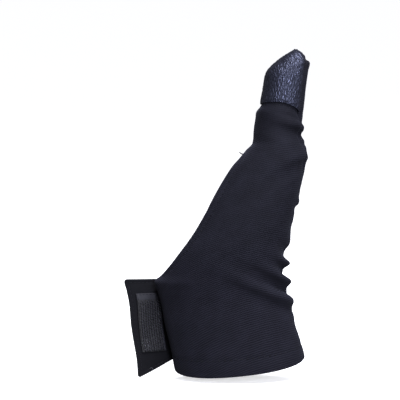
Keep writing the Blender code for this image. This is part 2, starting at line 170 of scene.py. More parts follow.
# Softer folds and fine creases that only the cloth shows
CREASES = (
    Fold(0.160, 0.42, 0.86, 0.30, 1.50, -0.50, 0.20),
    Fold(0.197, 0.46, 0.92, 0.30, 1.00, 0.60, 0.16),
    Fold(0.231, 0.50, 0.74, 0.30, 1.10, -0.75, 0.22),
    Fold(0.262, 0.52, 0.50, 0.26, 0.85, 0.60, 0.10),
    Fold(0.293, 0.50, 0.46, 0.26, 0.90, -0.50, 0.16),
    Fold(0.322, 0.46, 0.38, 0.26, 0.90, 0.40, 0.10),
    Fold(0.350, 0.50, 0.60, 0.26, 1.80, -0.36, 0.12),
    Fold(0.640, -0.50, 0.60, 0.26, 1.40, -0.55, 0.10),
    Fold(0.706, 0.30, 0.56, 0.26, 1.10, -0.60, 0.08),
    Fold(0.744, 0.34, 0.52, 0.26, 0.80, 0.60, 0.08),
    Fold(0.780, 0.30, 0.50, 0.20, 0.90, -0.34, 0.08),
    Fold(0.164, 0.42, 0.14, 0.12, 1.10, 0.40),
    Fold(0.236, 0.50, 0.12, 0.10, 0.70, 0.50),
    Fold(0.297, 0.50, 0.10, 0.10, 0.60, 0.35),
    Fold(0.671, -0.30, 0.14, 0.10, 0.70, -0.40),
    Fold(0.714, 0.20, 0.14, 0.10, 0.70, 0.40),
    Fold(0.750, 0.40, 0.12, 0.10, 0.60, -0.45),
    Fold(0.968, 0.00, 0.16, 0.14, 0.35, -0.45),
    Fold(0.140, 0.34, 0.30, 0.24, 0.45, 0.10),
    Fold(0.184, 0.46, 0.60, 0.20, 0.38, -0.10),
    Fold(0.213, 0.50, 0.46, 0.22, 0.36, -0.10),
    Fold(0.244, 0.62, 0.36, 0.20, 0.34, -0.10),
    Fold(0.275, 0.60, 0.26, 0.20, 0.34, 0.10),
    Fold(0.306, 0.50, 0.22, 0.18, 0.32, -0.10),
    Fold(0.405, 0.22, 0.20, 0.16, 0.50, -0.12),
    Fold(0.455, 0.12, 0.18, 0.14, 0.50, 0.10),
    Fold(0.560, 0.05, 0.16, 0.14, 0.50, -0.10),
    Fold(0.700, -0.20, 0.40, 0.12, 0.50, -0.12),
    Fold(0.768, 0.30, 0.30, 0.14, 0.40, -0.10),
)


class Curve:
    """A smooth curve through knots that never overshoots them."""

    def __init__(self, knots: Sequence[float], values: Sequence[float]) -> None:
        """Works out the tangents.

        Args:
            knots: Rising places along the curve.
            values: The value at each knot.
        """
        self.knots = np.asarray(knots, float)
        self.values = np.asarray(values, float)
        steps = np.diff(self.knots)
        slopes = np.diff(self.values) / steps
        self.tangents = np.zeros(len(self.knots))
        self.tangents[[0, -1]] = slopes[[0, -1]]
        before, after = slopes[:-1], slopes[1:]
        turns = before * after > 0
        near, far = 2 * steps[1:] + steps[:-1], steps[1:] + 2 * steps[:-1]
        safe_before = np.where(turns, before, 1.0)
        safe_after = np.where(turns, after, 1.0)
        mean = (near + far) / (near / safe_before + far / safe_after)
        self.tangents[1:-1] = np.where(turns, mean, 0.0)

    def at(self, place: np.ndarray) -> np.ndarray:
        """Reads the curve, held level past both ends.

        Args:
            place: Places along the curve.

        Returns:
            The value at each.
        """
        place = np.clip(place, self.knots[0], self.knots[-1])
        i = np.clip(np.searchsorted(self.knots, place, "right") - 1, 0, len(self.knots) - 2)
        step = self.knots[i + 1] - self.knots[i]
        t = (place - self.knots[i]) / step
        return (
            (1 + 2 * t) * (1 - t) ** 2 * self.values[i]
            + t * (1 - t) ** 2 * step * self.tangents[i]
            + t * t * (3 - 2 * t) * self.values[i + 1]
            + t * t * (t - 1) * step * self.tangents[i + 1]
        )


def fade(share: np.ndarray) -> np.ndarray:
    """1 at 0 falling smoothly to 0 at 1 and past it."""
    return (1 - np.minimum(np.abs(share), 1.0) ** 2) ** 2


def ramp(share: np.ndarray) -> np.ndarray:
    """0 up to 0, rising smoothly to 1 at 1 and past it."""
    share = np.clip(share, 0.0, 1.0)
    return share * share * (3 - 2 * share)


def groove(distance: np.ndarray, width: float) -> np.ndarray:
    """1 on a line falling smoothly to 0 at a width from it."""
    return np.exp(-((distance / (0.5 * width)) ** 2))


@dataclass
class GloveForm:
    """The worn glove's outer surface, and the lines on which its pieces meet.

    A place on the surface is a height and a girth, the length round the glove from the thumb
    side, which is positive over the palm side and negative over the back.
    """

    hand_height: float = 0.1232
    thumb_length: float = 0.0578
    wrist_width: float = 0.0750
    wrist_depth: float = 0.0440
    hand_thickness: float = 0.0280
    thumb_width: float = 0.0245
    thumb_depth: float = 0.0240
    thumb_offset: float = 0.0227
    oval_fullness: float = 2.2
    rim_tilt: float = math.radians(11)
    rim_slant: float = math.radians(6)
    rim_fade: float = 0.030
    cloth_wall: float = 0.0011
    hem_wall: float = 0.0019
    leather_wall: float = 0.0013
    seam_gap: float = 0.0003
    thumb_seam: float = 0.0070  # nearer the side than the solid's, as its roll moves it inwards
    thumb_seam_back: float = 0.0070
    seam_turn: float = 0.030
    seam_tip_turn: float = 0.010
    cap_length: float = 0.0315
    cap_drop: float = 0.0060
    cap_crest: float = 0.50
    cap_fade: float = 0.018
    closure_height: float = 0.0470
    tab_set: float = 0.0160
    tab_set_fade: float = 0.045
    tab_rise: float = 0.0008
    tab_wall: float = 0.0016
    lap: float = 0.0060
    lap_turn: float = 0.0090
    sink_run: float = 0.0140
    fold_depth: float = 0.0020
    fold_width: float = 0.0034
    fold_rounding: float = 0.0100
    opening_foot_run: float = 0.009  # over which the opening's hems begin above the tab
    opening_top_run: float = 0.006  # over which they end at the thumb
    taut_from: float = 0.42  # share of the way up to the thumb below which the cloth is slack
    taut_run: float = 0.30  # likewise, over which it tightens
    taut_palm: float = 0.55
    taut_thumb: float = 0.40  # how much tighter it sits on the thumb
    taut_thumb_run: float = 0.010
    below_rim: float = 0.26  # share of the closure's height that is tabulated below the wrist
    probe: float = 0.00025
    level_step: float = 0.0003
    arm_stations: int = 257
    quadrant_samples: int = 60

    def __post_init__(self) -> None:
        """Tabulates the sections, so that thousands of points are read at once."""
        self.tip_half_depth = max(self.cloth_wall, self.leather_wall) + self.seam_gap
        self.tip_height = self.hand_height + self.thumb_length
        self.cap_height = self.tip_height - self.cap_length
        self.tab_top = self.closure_height + self.tab_rise
        self.lowest = -self.below_rim * self.closure_height
        count = round((self.tip_height - self.lowest) / self.level_step) + 1
        self.levels = np.linspace(self.lowest, self.tip_height, count)
        values = [curve.at(self.levels) for curve in self._section_curves()]
        self.reaches = np.zeros((count, 2))
        self.arms = np.zeros((count, 2, self.arm_stations, 2))
        for row in range(count):
            section = [column[row] for column in values]
            for side in (0, 1):
                arm = self._arm(section, side)
                lengths = np.linalg.norm(np.diff(arm, axis=0), axis=1)
                lengths = np.concatenate([[0], np.cumsum(lengths)])
                even = np.linspace(0, lengths[-1], self.arm_stations)
                self.reaches[row, side] = lengths[-1]
                for axis in (0, 1):
                    self.arms[row, side, :, axis] = np.interp(even, lengths, arm[:, axis])

    def _section_curves(self) -> list[Curve]:
        """A curve of each of a section's values by height."""
        inner_depth = self.thumb_depth / 2 - self.tip_half_depth
        above = self.hand_height - self.closure_height
        stretches = (
            (WRIST_SECTIONS, 0.0, self.closure_height),
            (PALM_SECTIONS, self.closure_height, above),
        )
        rows = [
            (
                foot + s.height * length,
                s.ulnar * self.wrist_width,
                s.radial * self.wrist_width,
                s.crest,
                s.middle * self.wrist_depth,
                s.front * self.wrist_depth,
                s.back * self.wrist_depth,
                s.gape * self.hand_thickness / 2,
            )
            for table, foot, length in stretches
            for s in table
        ] + [
            (
                self.hand_height + s.height * self.thumb_length,
                self.thumb_offset + s.ulnar * self.thumb_width,
                self.thumb_offset + s.radial * self.thumb_width,
                0.5,
                s.middle * self.thumb_depth,
                self.tip_half_depth + s.front * inner_depth,
                self.tip_half_depth + s.back * inner_depth,
                0.0,
            )
            for s in THUMB_SECTIONS
        ]
        heights = [row[0] for row in rows]
        return [Curve(heights, column) for column in list(zip(*rows))[1:]]

    def _arm(self, section: Sequence[float], side: int) -> np.ndarray:
        """Half of a section's outline.

        Args:
            section: Its values, as in the tables.
            side: 0 over the palm side, 1 over the back.

        Returns:
            Points from the thumb side to the little-finger side.
        """
        ulnar, radial, crest, middle, front, back, gape = section
        depth = (front, back)[side]
        across = ulnar + crest * (radial - ulnar)
        turn = np.linspace(0, math.pi / 2, self.quadrant_samples)
        power = 2 / self.oval_fullness
        outer_x = across + (radial - across) * np.cos(turn) ** power
        outer_y = depth * np.sin(turn) ** power
        stop = math.acos(min(gape / depth, 1) ** (1 / power))
        turn = stop * np.sin(turn[1:])
        inner_x = across - (across - ulnar) * (np.sin(turn) / math.sin(stop)) ** power
        inner_y = depth * np.cos(turn) ** power
        x = np.concatenate([outer_x, inner_x])
        y = np.concatenate([outer_y, inner_y]) * (-1, 1)[side]
        return np.stack([x, middle + y], axis=1)

    def reach(self, height: np.ndarray, side: int) -> np.ndarray:
        """Length of one arm of the section: side 0 over the palm, 1 over the back."""
        return np.interp(height, self.levels, self.reaches[:, side])

    def _on_level(self, row: np.ndarray, girth: np.ndarray) -> np.ndarray:
        """Reads x and y on a tabulated level, wrapping where the two arms' ends meet."""
        palm, back = self.reaches[row, 0], self.reaches[row, 1]
        apart = self.arms[row, 0, -1, 1] - self.arms[row, 1, -1, 1]
        meet = np.abs(apart) < self.seam_gap
        girth = np.where(meet & (girth > palm), girth - palm - back, girth)
        girth = np.where(meet & (girth < -back), girth + palm + back, girth)
        side = (girth < 0).astype(int)
        share = np.abs(girth) / self.reaches[row, side] * (self.arm_stations - 1)
        station = np.clip(share.astype(int), 0, self.arm_stations - 2)
        near = self.arms[row, side, station]
        far = self.arms[row, side, station + 1]
        return near + (far - near) * (share - station)[..., None]

    def bare(self, height: np.ndarray, girth: np.ndarray) -> np.ndarray:
        """Points of the outer surface before the wrinkles."""
        height, girth = np.broadcast_arrays(np.asarray(height, float), girth)
        place = (height - self.lowest) / (self.levels[1] - self.levels[0])
        row = np.clip(np.floor(place).astype(int), 0, len(self.levels) - 2)
        share = np.clip(place - row, 0, 1)[..., None]
        low, high = self._on_level(row, girth), self._on_level(row + 1, girth)
        return np.concatenate([low + (high - low) * share, height[..., None]], axis=-1)

    def outward(self, height: np.ndarray, girth: np.ndarray) -> np.ndarray:
        """The surface's unit normal, pointing outwards."""
        step = self.probe
        along = self.bare(height, girth + step) - self.bare(height, girth - step)
        rise = self.bare(height + step, girth) - self.bare(height - step, girth)
        normal = np.cross(rise, along)
        return normal / np.linalg.norm(normal, axis=-1, keepdims=True)

    def tautness(self, row: np.ndarray) -> np.ndarray:
        """How tight the cloth sits, from slack at the wrist to smooth on the thumb.

        Args:
            row: Heights of the rows.

        Returns:
            The tautness of each, 0 to 1.
        """
        start, run = self.taut_from * self.hand_height, self.taut_run * self.hand_height
        thumb = ramp((row - self.hand_height) / self.taut_thumb_run)
        return self.taut_palm * ramp((row - start) / run) + self.taut_thumb * thumb

    def at_opening(self, row: np.ndarray) -> np.ndarray:
        """1 beside the palm opening, falling to 0 above and below it."""
        foot = ramp((row - self.tab_top) / self.opening_foot_run)
        return foot * ramp((self.hand_height - row) / self.opening_top_run)

    def on_thumb(self, row: np.ndarray) -> np.ndarray:
        """0 below the thumb, rising to 1 on it."""
        return ramp((row - self.hand_height) / self.opening_top_run)

    def wrinkle(
        self, height: np.ndarray, girth: np.ndarray, folds: Sequence[Fold] = FOLDS
    ) -> np.ndarray:
        """How far the folds lift the cloth.

        Args:
            height: Heights of the places.
            girth: Girths of the places.
            folds: The folds to add up.

        Returns:
            The lift at each place, in metres.
        """
        total = np.zeros(np.broadcast(height, girth).shape)
        run = np.hypot(girth, self.fold_rounding) - self.fold_rounding
        for fold in folds:
            reach = np.where(girth > 0, fold.front_reach, fold.back_reach)
            line = fold.height * self.tip_height + fold.rise * run
            away = np.abs(height - line) / (fold.width * self.fold_width)
            fall = fade(girth / (reach * self.wrist_width))
            if fold.onset:
                fall = fall * ramp(np.abs(girth) / (fold.onset * self.wrist_width))
            total = total + fold.lift * self.fold_depth * np.exp(-(away**3)) * fall
        return total

    def place(self, height: np.ndarray, girth: np.ndarray, rise: np.ndarray) -> np.ndarray:
        """Points at a rise over the wrinkled surface, negative for under it."""
        rise = self.wrinkle(height, girth) + rise
        return self.bare(height, girth) + rise[..., None] * self.outward(height, girth)

    def faces(
        self,
        height: np.ndarray,
        girth: np.ndarray,
        rise: np.ndarray,
        wall: float | np.ndarray,
        edge: np.ndarray,
    ) -> tuple[np.ndarray, np.ndarray]:
        """Both faces of a sheet on the glove, with its edges rounded.

        Args:
            height: Heights of the places.
            girth: Girths of the places.
            rise: How far its outer face lies over the wrinkled surface.
            wall: Its thickness.
            edge: Distance from its nearest edge.

        Returns:
            Points of the outer and of the inner face.
        """
        draw = rounded_edge(edge, wall)
        outer = self.place(height, girth, rise - draw)
        return outer, self.place(height, girth, rise - wall + draw)

    def rim_shift(self, height: np.ndarray, girth: np.ndarray) -> np.ndarray:
        """How far a row moves up or down, so that the lowest follows the wrist opening."""
        foot = self.bare(np.zeros_like(girth), girth)
        tilt, slant = math.tan(self.rim_tilt), math.tan(self.rim_slant)
        return (foot[..., 1] * tilt + foot[..., 0] * slant) * (1 - ramp(height / self.rim_fade))

    def cap_shift(self, height: np.ndarray, share: np.ndarray) -> np.ndarray:
        """How far a row moves down, so that one follows the leather's curved lower edge."""
        fall = self.cap_drop * np.maximum(0.0, 1 - share / self.cap_crest) ** 2
        return -fall * (1 - ramp(np.abs(height - self.cap_height) / self.cap_fade))

    def tip_turn(self, height: np.ndarray) -> np.ndarray:
        """1 along the thumb, falling to 0 at the tip."""
        return ramp((self.tip_height - height) / self.seam_tip_turn)

    def outer_seam(self, height: np.ndarray) -> np.ndarray:
        """Girth of the seam along the thumb side."""
        below = ramp((height - self.hand_height + self.seam_turn) / self.seam_turn)
        return self.thumb_seam * below * self.tip_turn(height)

    def inner_seam(self, height: np.ndarray) -> np.ndarray:
        """How far behind the thumb's inner edge its other seam lies: nothing at the web."""
        above = ramp((height - self.hand_height) / self.seam_turn)
        return self.thumb_seam_back * above * self.tip_turn(height)

    def palm_end(self, height: np.ndarray) -> np.ndarray:
        """Girth of the palm panel's far edge."""
        turn = ramp((self.closure_height - height) / self.lap_turn)
        lap = (self.tab_set + self.lap) * turn
        return self.reach(height, 0) + self.inner_seam(height) + lap - self.seam_gap / 2

    def back_end(self, height: np.ndarray) -> np.ndarray:
        """Girth of the back panel's far edge."""
        setting = self.tab_set * (1 - ramp((height - self.tab_top) / self.tab_set_fade))
        return self.inner_seam(height) + setting + self.seam_gap / 2 - self.reach(height, 1)

    def lap_sink(self, height: np.ndarray, girth: np.ndarray) -> np.ndarray:
        """How far the palm panel dips to pass under the tab."""
        start = self.reach(height, 0) + self.tab_set - self.sink_run
        sink = ramp((girth - start) / (self.sink_run - self.cloth_wall))
        closed = height < self.closure_height
        return (self.tab_wall + self.seam_gap) * sink * closed


# Mesh helpers

EDGE_STATIONS = np.array([0.00, 0.07, 0.17, 0.32, 0.55, 0.90]) * MM
EDGE_RADIUS = 0.46  # of a wall's rounded edge, as a share of its thickness


def stations(length: float | np.ndarray, count: int) -> np.ndarray:
    """Distances along a stretch, close together at both of its ends.

    Args:
        length: Length of the stretch, or of each of several.
        count: Number of even distances between the ends.

    Returns:
        The distances, on a new last axis.
    """
    length = np.asarray(length, float)[..., None]
    edge = np.broadcast_to(EDGE_STATIONS, length.shape[:-1] + EDGE_STATIONS.shape)
    last = edge[..., -1:]
    even = last + (length - 2 * last) * np.linspace(0, 1, count)
    return np.concatenate([edge[..., :-1], even, length - edge[..., -2::-1]], axis=-1)


def rounded_edge(distance: np.ndarray, wall: float | np.ndarray) -> np.ndarray:
    """How far each face of a wall draws in at its rounded edge.

    Args:
        distance: Distance from the edge.
        wall: Thickness of the wall.

    Returns:
        The draw at each place.
    """
    radius = EDGE_RADIUS * wall
    short = np.clip(1 - distance / radius, 0, 1)
    return radius * (1 - np.sqrt(1 - short**2))


def noise_at(lay: np.ndarray, scale: Sequence[float], seed: float) -> np.ndarray:
    """Smooth noise over the cloth, about -1 to 1.

    Args:
        lay: Places in millimetres, with two values on the last axis.
        scale: Millimetres of one wave along each of the two.
        seed: Picks another pattern.

    Returns:
        The noise at each place.
    """
    flat = lay.reshape(-1, 2) / np.asarray(scale)
    values = [noise.noise(Vector((x, y, seed))) for x, y in flat]
    return np.array(values).reshape(lay.shape[:-1])


def shell(
    name: str,
    outer: np.ndarray,
    inner: np.ndarray,
    layers: dict[str, np.ndarray],
    material: bpy.types.Material,
) -> bpy.types.Object:
    """A closed sheet with a thickness, from a grid that is drawn out into its wall.

    Args:
        name: Name of the piece.
        outer: Points of the outer face, as rows of columns.
        inner: Points of the inner face.
        layers: Values to keep on the points, one or two for each, as rows of columns.
        material: Its finish.

    Returns:
        The piece.
    """
    rows, columns = outer.shape[:2]
    mesh = bmesh.new()
    bmesh.ops.create_grid(mesh, x_segments=columns - 1, y_segments=rows - 1, size=1.0)
    kept = {}
    for title, values in layers.items():
        kind = mesh.verts.layers.float if values.ndim == 2 else mesh.verts.layers.float_vector
        kept[title] = kind.new(title)
    faces = [list(mesh.verts)]
    made = bmesh.ops.extrude_face_region(mesh, geom=mesh.faces[:], use_keep_orig=True)
    faces.append([g for g in made["geom"] if isinstance(g, bmesh.types.BMVert)])
    for verts, points in zip(faces, (outer, inner)):
        for vert in verts:
            column = round((vert.co.x + 1) / 2 * (columns - 1))
            row = round((vert.co.y + 1) / 2 * (rows - 1))
            vert.co = points[row, column]
            for title, values in layers.items():
                value = values[row, column]
                vert[kept[title]] = float(value) if value.ndim == 0 else Vector((*value, 0.0))
    bmesh.ops.recalc_face_normals(mesh, faces=mesh.faces)
    if mesh.calc_volume(signed=True) < 0:
        bmesh.ops.reverse_faces(mesh, faces=mesh.faces)
    return piece_from(name, mesh, material)


def object_from(
    name: str, mesh: bmesh.types.BMesh, material: bpy.types.Material
) -> bpy.types.Object:
    """Makes a smooth-shaded object of a bmesh, which it frees.

    Args:
        name: Name of the object.
        mesh: Its shape, in place.
        material: Its finish.

    Returns:
        The object, at the origin.
    """
    data = bpy.data.meshes.new(name)
    mesh.to_mesh(data)
    mesh.free()
    data.shade_smooth()
    data.materials.append(material)
    made = bpy.data.objects.new(name, data)
    bpy.context.scene.collection.objects.link(made)
    return made


def piece_from(
    name: str, mesh: bmesh.types.BMesh, material: bpy.types.Material
) -> bpy.types.Object:
    """Makes a piece of the glove of a bmesh, riding on the glove's body."""
    piece = object_from(name, mesh, material)
    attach(piece, BODY)
    return piece


def tube(mesh: bmesh.types.BMesh, path: np.ndarray, radii: np.ndarray, sides: int) -> None:
    """Adds a closed round strand along a path.

    Args:
        mesh: The bmesh that it is added to.
        path: Points of its middle line.
        radii: Its radius at each point.
        sides: Number of sides.
    """
    made = bmesh.ops.create_grid(mesh, x_segments=sides, y_segments=len(path) - 1, size=1.0)
    along = np.gradient(path, axis=0)
    along /= np.linalg.norm(along, axis=1, keepdims=True)
    across = np.cross(along[0], (0.31, 0.22, 0.93))
    for vert in made["verts"]:
        row = round((vert.co.y + 1) / 2 * (len(path) - 1))
        turn = (vert.co.x + 1) * math.pi
        side = across - along[row] * (across @ along[row])
        side /= np.linalg.norm(side)
        up = np.cross(along[row], side)
        spoke = side * math.cos(turn) + up * math.sin(turn)
        vert.co = path[row] + spoke * radii[row]
    bmesh.ops.remove_doubles(mesh, verts=made["verts"], dist=1e-7)
    ends = [e for v in made["verts"] if v.is_valid for e in v.link_edges if e.is_boundary]
    bmesh.ops.holes_fill(mesh, edges=list(set(ends)), sides=sides)


# Finishes


def linear(colour: str) -> tuple[float, float, float, float]:
    """Turns an sRGB hex colour such as #1c1d26 to a linear one with alpha."""
    parts = [int(colour[i : i + 2], 16) / 255 for i in (1, 3, 5)]
    levels = [p / 12.92 if p <= 0.04045 else ((p + 0.055) / 1.055) ** 2.4 for p in parts]
    return (*levels, 1.0)


def connect(material: bpy.types.Material, node: bpy.types.Node, inputs: dict) -> None:
    """Fills a node's inputs.

    Args:
        material: The material that the node is in.
        node: The node.
        inputs: A value, a hex colour or an output to link, for each input's name or number.
    """
    for key, value in inputs.items():
        if isinstance(value, bpy.types.NodeSocket):
            material.node_tree.links.new(value, node.inputs[key])
        else:
            node.inputs[key].default_value = linear(value) if isinstance(value, str) else value


def add_node(
    material: bpy.types.Material, kind: str, inputs: dict | None = None, **settings: object
) -> bpy.types.Node:
    """Adds a shader node.

    Args:
        material: The material that it is added to.
        kind: Its type, such as ShaderNodeMath.
        inputs: What fills its inputs, as in connect.
        **settings: Properties of the node.

    Returns:
        The node.
    """
    made = material.node_tree.nodes.new(kind)
    for title, value in settings.items():
        setattr(made, title, value)
    connect(material, made, inputs or {})
    return made


def read(material: bpy.types.Material, layer: str, output: str = "Fac") -> bpy.types.NodeSocket:
    """Reads a layer that the pieces' points carry."""
    return add_node(material, "ShaderNodeAttribute", attribute_name=layer).outputs[output]


def calc(
    material: bpy.types.Material,
    operation: str,
    *values: float | bpy.types.NodeSocket,
    clamp: bool = False,
) -> bpy.types.NodeSocket:
    """Works out one step of arithmetic on values and outputs."""
    inputs = dict(enumerate(values))
    settings = {"operation": operation, "use_clamp": clamp}
    return add_node(material, "ShaderNodeMath", inputs, **settings).outputs[0]


def clouds(
    material: bpy.types.Material, place: bpy.types.NodeSocket, size: float, detail: float
) -> bpy.types.NodeSocket:
    """Soft noise with patches of a size, in the unit of the place."""
    inputs = {"Vector": place, "Scale": 1 / size, "Detail": detail}
    return add_node(material, "ShaderNodeTexNoise", inputs).outputs["Fac"]


def wave(
    material: bpy.types.Material, place: bpy.types.NodeSocket, pitch: float
) -> bpy.types.NodeSocket:
    """A sine of a place, from -1 to 1."""
    return calc(material, "SINE", calc(material, "MULTIPLY", place, 2 * math.pi / pitch))


def blend(
    material: bpy.types.Material,
    share: bpy.types.NodeSocket,
    low: str | bpy.types.NodeSocket,
    high: str | bpy.types.NodeSocket,
) -> bpy.types.NodeSocket:
    """Mixes two colours, from all of the first at 0 to all of the second at 1."""
    inputs = {0: share, MIX_A: low, MIX_B: high}
    return add_node(material, "ShaderNodeMix", inputs, data_type="RGBA").outputs[MIX_RESULT]


def remap(
    material: bpy.types.Material, value: bpy.types.NodeSocket, low: float, high: float
) -> bpy.types.NodeSocket:
    """Moves a value from 0 and 1 to other ends."""
    inputs = {"Value": value, "To Min": low, "To Max": high}
    return add_node(material, "ShaderNodeMapRange", inputs).outputs["Result"]


def bump(
    material: bpy.types.Material,
    height: bpy.types.NodeSocket,
    strength: float,
    depth_mm: float,
    invert: bool = False,
) -> bpy.types.NodeSocket:
    """A normal that gives a height some relief."""
    inputs = {"Height": height, "Strength": strength, "Distance": depth_mm * MM}
    return add_node(material, "ShaderNodeBump", inputs, invert=invert).outputs["Normal"]


def new_material(name: str) -> tuple[bpy.types.Material, bpy.types.Node]:
    """A material with nothing but its shader and output.

    Args:
        name: Name of the material.

    Returns:
        The material and its Principled shader.
    """
    material = bpy.data.materials.new(name)
    material.use_nodes = True
    return material, material.node_tree.nodes["Principled BSDF"]


@dataclass(frozen=True)
class StretchKnit:
    """Black polyester and elastane warp knit, dyed, heat-set and worn soft.

    Its courses run across the glove as faint ribs, with painted shade in their valleys and
    painted light on their ridges, and fibre ends give it a soft sheen on the folds. Its hems have
    worn a little paler, the folds' ridges on the palm carry a painted highlight, and where it is
    stretched, below the leather and on the thumb, it is painted darker, as shade.
    """

    title: str = "polyester_elastane_warp_knit"
    # valley and ridge: the knit is painted darker in its courses' valleys and paler on their
    # ridges, as painted shade and light, and its tone also varies in random patches
    valley: str = "#15151d"
    ridge: str = "#23232e"
    # Paler colour of the worn edges, and of the painted highlight on the folds' ridges
    worn_and_highlight: str = "#2f2f3a"
    bloom_tint: str = "#b9bcd6"
    rib_share: float = 1.0  # 0 where the face is brushed until no course shows
    taut_ribs: float = 0.2  # how much of them shows where the cloth is stretched
    taut_painted_shade: float = -0.35  # painted shade: how much darker the knit is painted where it is stretched
    rib_pitch_mm: float = 1.15  # real courses of 0.4 mm are too fine to show, so coarser
    loop_pitch_mm: float = 0.7  # likewise
    loop_share: float = 0.22  # how strong the loops are beside the courses
    wander_mm: float = 6.0  # the courses wander a little, over this length
    fibre_mm: float = 0.5
    patch_mm: float = 9.0
    roughness: float = 0.80

    def material(self) -> bpy.types.Material:
        """Builds the knit.

        Returns:
            The material.
        """
        made, shader = new_material(self.title)
        lay, wear, taut_and_shade = read(made, LAY, "Vector"), read(made, WEAR_AND_HIGHLIGHT), read(made, TAUT_AND_SHADE)
        wander = clouds(made, lay, self.wander_mm, 2.0)
        split = add_node(made, "ShaderNodeSeparateXYZ", {0: lay}).outputs
        course = calc(made, "MULTIPLY_ADD", wander, 0.7, split["Y"])
        ribs = wave(made, course, self.rib_pitch_mm)
        loops = wave(made, split["X"], self.loop_pitch_mm)
        knit = calc(made, "MULTIPLY_ADD", loops, self.loop_share, ribs)
        fibres = clouds(made, lay, self.fibre_mm, 4.0)
        patches = clouds(made, lay, self.patch_mm, 3.0)
        share = remap(made, taut_and_shade, self.rib_share, self.taut_ribs * self.rib_share)
        courses = calc(made, "MULTIPLY", knit, share)
        # Painted shade: the stretched knit below the leather and on the thumb is painted darker,
        # on top of its random patches
        patches_and_painted_shade = calc(made, "MULTIPLY_ADD", taut_and_shade, self.taut_painted_shade, patches)
        # Painted shade and light on the ribs: darker in the courses' valleys, paler on their
        # ridges
        shade = calc(made, "MULTIPLY_ADD", courses, 0.40, patches_and_painted_shade, clamp=True)
        cloth = blend(made, shade, self.valley, self.ridge)
        # Real wear on the edges, and a painted highlight on the palm's fold ridges, both mix in
        # the paler colour
        wear_and_ridge_highlight = calc(made, "MULTIPLY", wear, fibres)
        height = calc(made, "MULTIPLY_ADD", fibres, 0.8, courses)
        inputs = {
            "Base Color": blend(made, wear_and_ridge_highlight, cloth, self.worn_and_highlight),
            "Roughness": remap(made, fibres, self.roughness - 0.08, self.roughness + 0.12),
            "Normal": bump(made, height, 0.9, 0.13),
            "IOR": 1.5,
            "Specular IOR Level": 0.16,
            "Sheen Weight": 0.07,
            "Sheen Roughness": 0.45,
            "Sheen Tint": self.bloom_tint,
        }
        connect(made, shader, inputs)
        return made


# The tab's face: the same yarn, brushed and bonded to foam, so it is darker and shows no courses
BRUSHED_TRICOT = StretchKnit(
    title="brushed_tricot_laminate",
    valley="#0c0c10",
    ridge="#16161b",
    worn_and_highlight="#1f1f26",
    rib_share=0.12,
)


@dataclass(frozen=True)
class CrackleLeather:
    """Black drum-milled goatskin with a thin polished top coat.

    Milling has cracked the grain into small pebbles: their tops are polished and catch a
    bluish sheen, and the cracks between them stay matt and are painted darker, as shade.
    """

    # Painted shade in the cracks between the pebbles
    crack_painted_shade: str = "#07070a"
    pebble: str = "#252530"
    sheen_tint: str = "#bcc4ea"
    grain_mm: float = 0.45
    blotch_mm: float = 3.0
    roughness: float = 0.30
    crack_roughness: float = 0.72

    def material(self) -> bpy.types.Material:
        """Builds the leather.

        Returns:
            The material.
        """
        made, shader = new_material("polished_crackle_goatskin")
        lay, relief = read(made, LAY, "Vector"), read(made, RELIEF)
        cells = {"Vector": lay, "Scale": 1 / self.grain_mm, "Randomness": 0.9}
        grain = add_node(made, "ShaderNodeTexVoronoi", cells).outputs["Distance"]
        blotch = clouds(made, lay, self.blotch_mm, 3.0)
        # Painted shade: the cracks are painted near black; the pebbles' own tone varies in
        # blotches
        shade = calc(made, "MULTIPLY", relief, blotch)
        shade = calc(made, "MULTIPLY", shade, 1.6, clamp=True)
        inputs = {
            "Base Color": blend(made, shade, self.crack_painted_shade, self.pebble),
            "Roughness": remap(made, relief, self.crack_roughness, self.roughness),
            "Normal": bump(made, grain, 0.5, 0.06, invert=True),
            "IOR": 1.55,
            "Specular IOR Level": 0.8,
            "Specular Tint": self.sheen_tint,
        }
        connect(made, shader, inputs)
        return made


@dataclass(frozen=True)
class HookTape:
    """Black woven nylon hook tape.

    The ground under the hooks lies in their shadow, and the weave shows only where the tape
    is bare, along its selvedges and at its cut end.
    """

    ground: str = "#08080c"
    selvedge: str = "#1e1e28"
    weave_mm: float = 0.6
    dust_mm: float = 2.5
    roughness: float = 0.42

    def material(self) -> bpy.types.Material:
        """Builds the tape.

        Returns:
            The material.
        """
        made, shader = new_material("woven_nylon_hook_tape")
        lay, bare = read(made, LAY, "Vector"), read(made, RELIEF)
        split = add_node(made, "ShaderNodeSeparateXYZ", {0: lay}).outputs
        threads = [wave(made, split[axis], self.weave_mm) for axis in ("X", "Y")]
        weave = calc(made, "MULTIPLY", *threads)
        dust = clouds(made, lay, self.dust_mm, 4.0)
        shade = calc(made, "MULTIPLY_ADD", dust, 0.3, bare, clamp=True)
        inputs = {
            "Base Color": blend(made, shade, self.ground, self.selvedge),
            "Roughness": remap(made, dust, self.roughness - 0.06, self.roughness + 0.16),
            "Normal": bump(made, weave, 0.5, 0.1),
            "IOR": 1.53,
        }
        connect(made, shader, inputs)
        return made


@dataclass(frozen=True)
class Monofilament:
    """Black extruded nylon monofilament, heat-set into hooks.

    It is smooth and slightly clear, so each hook carries one small glint.
    """

    colour: str = "#24242f"
    worn: str = "#40404f"
    patch_mm: float = 2.5

    def material(self) -> bpy.types.Material:
        """Builds the filament.

        Returns:
            The material.
        """
        made, shader = new_material("extruded_nylon_monofilament")
        place = add_node(made, "ShaderNodeTexCoord").outputs["Object"]
        patches = clouds(made, place, self.patch_mm * MM, 2.0)
        colour = blend(made, patches, self.colour, self.worn)
        connect(made, shader, {"Base Color": colour, "Roughness": 0.36, "IOR": 1.53})
        return made


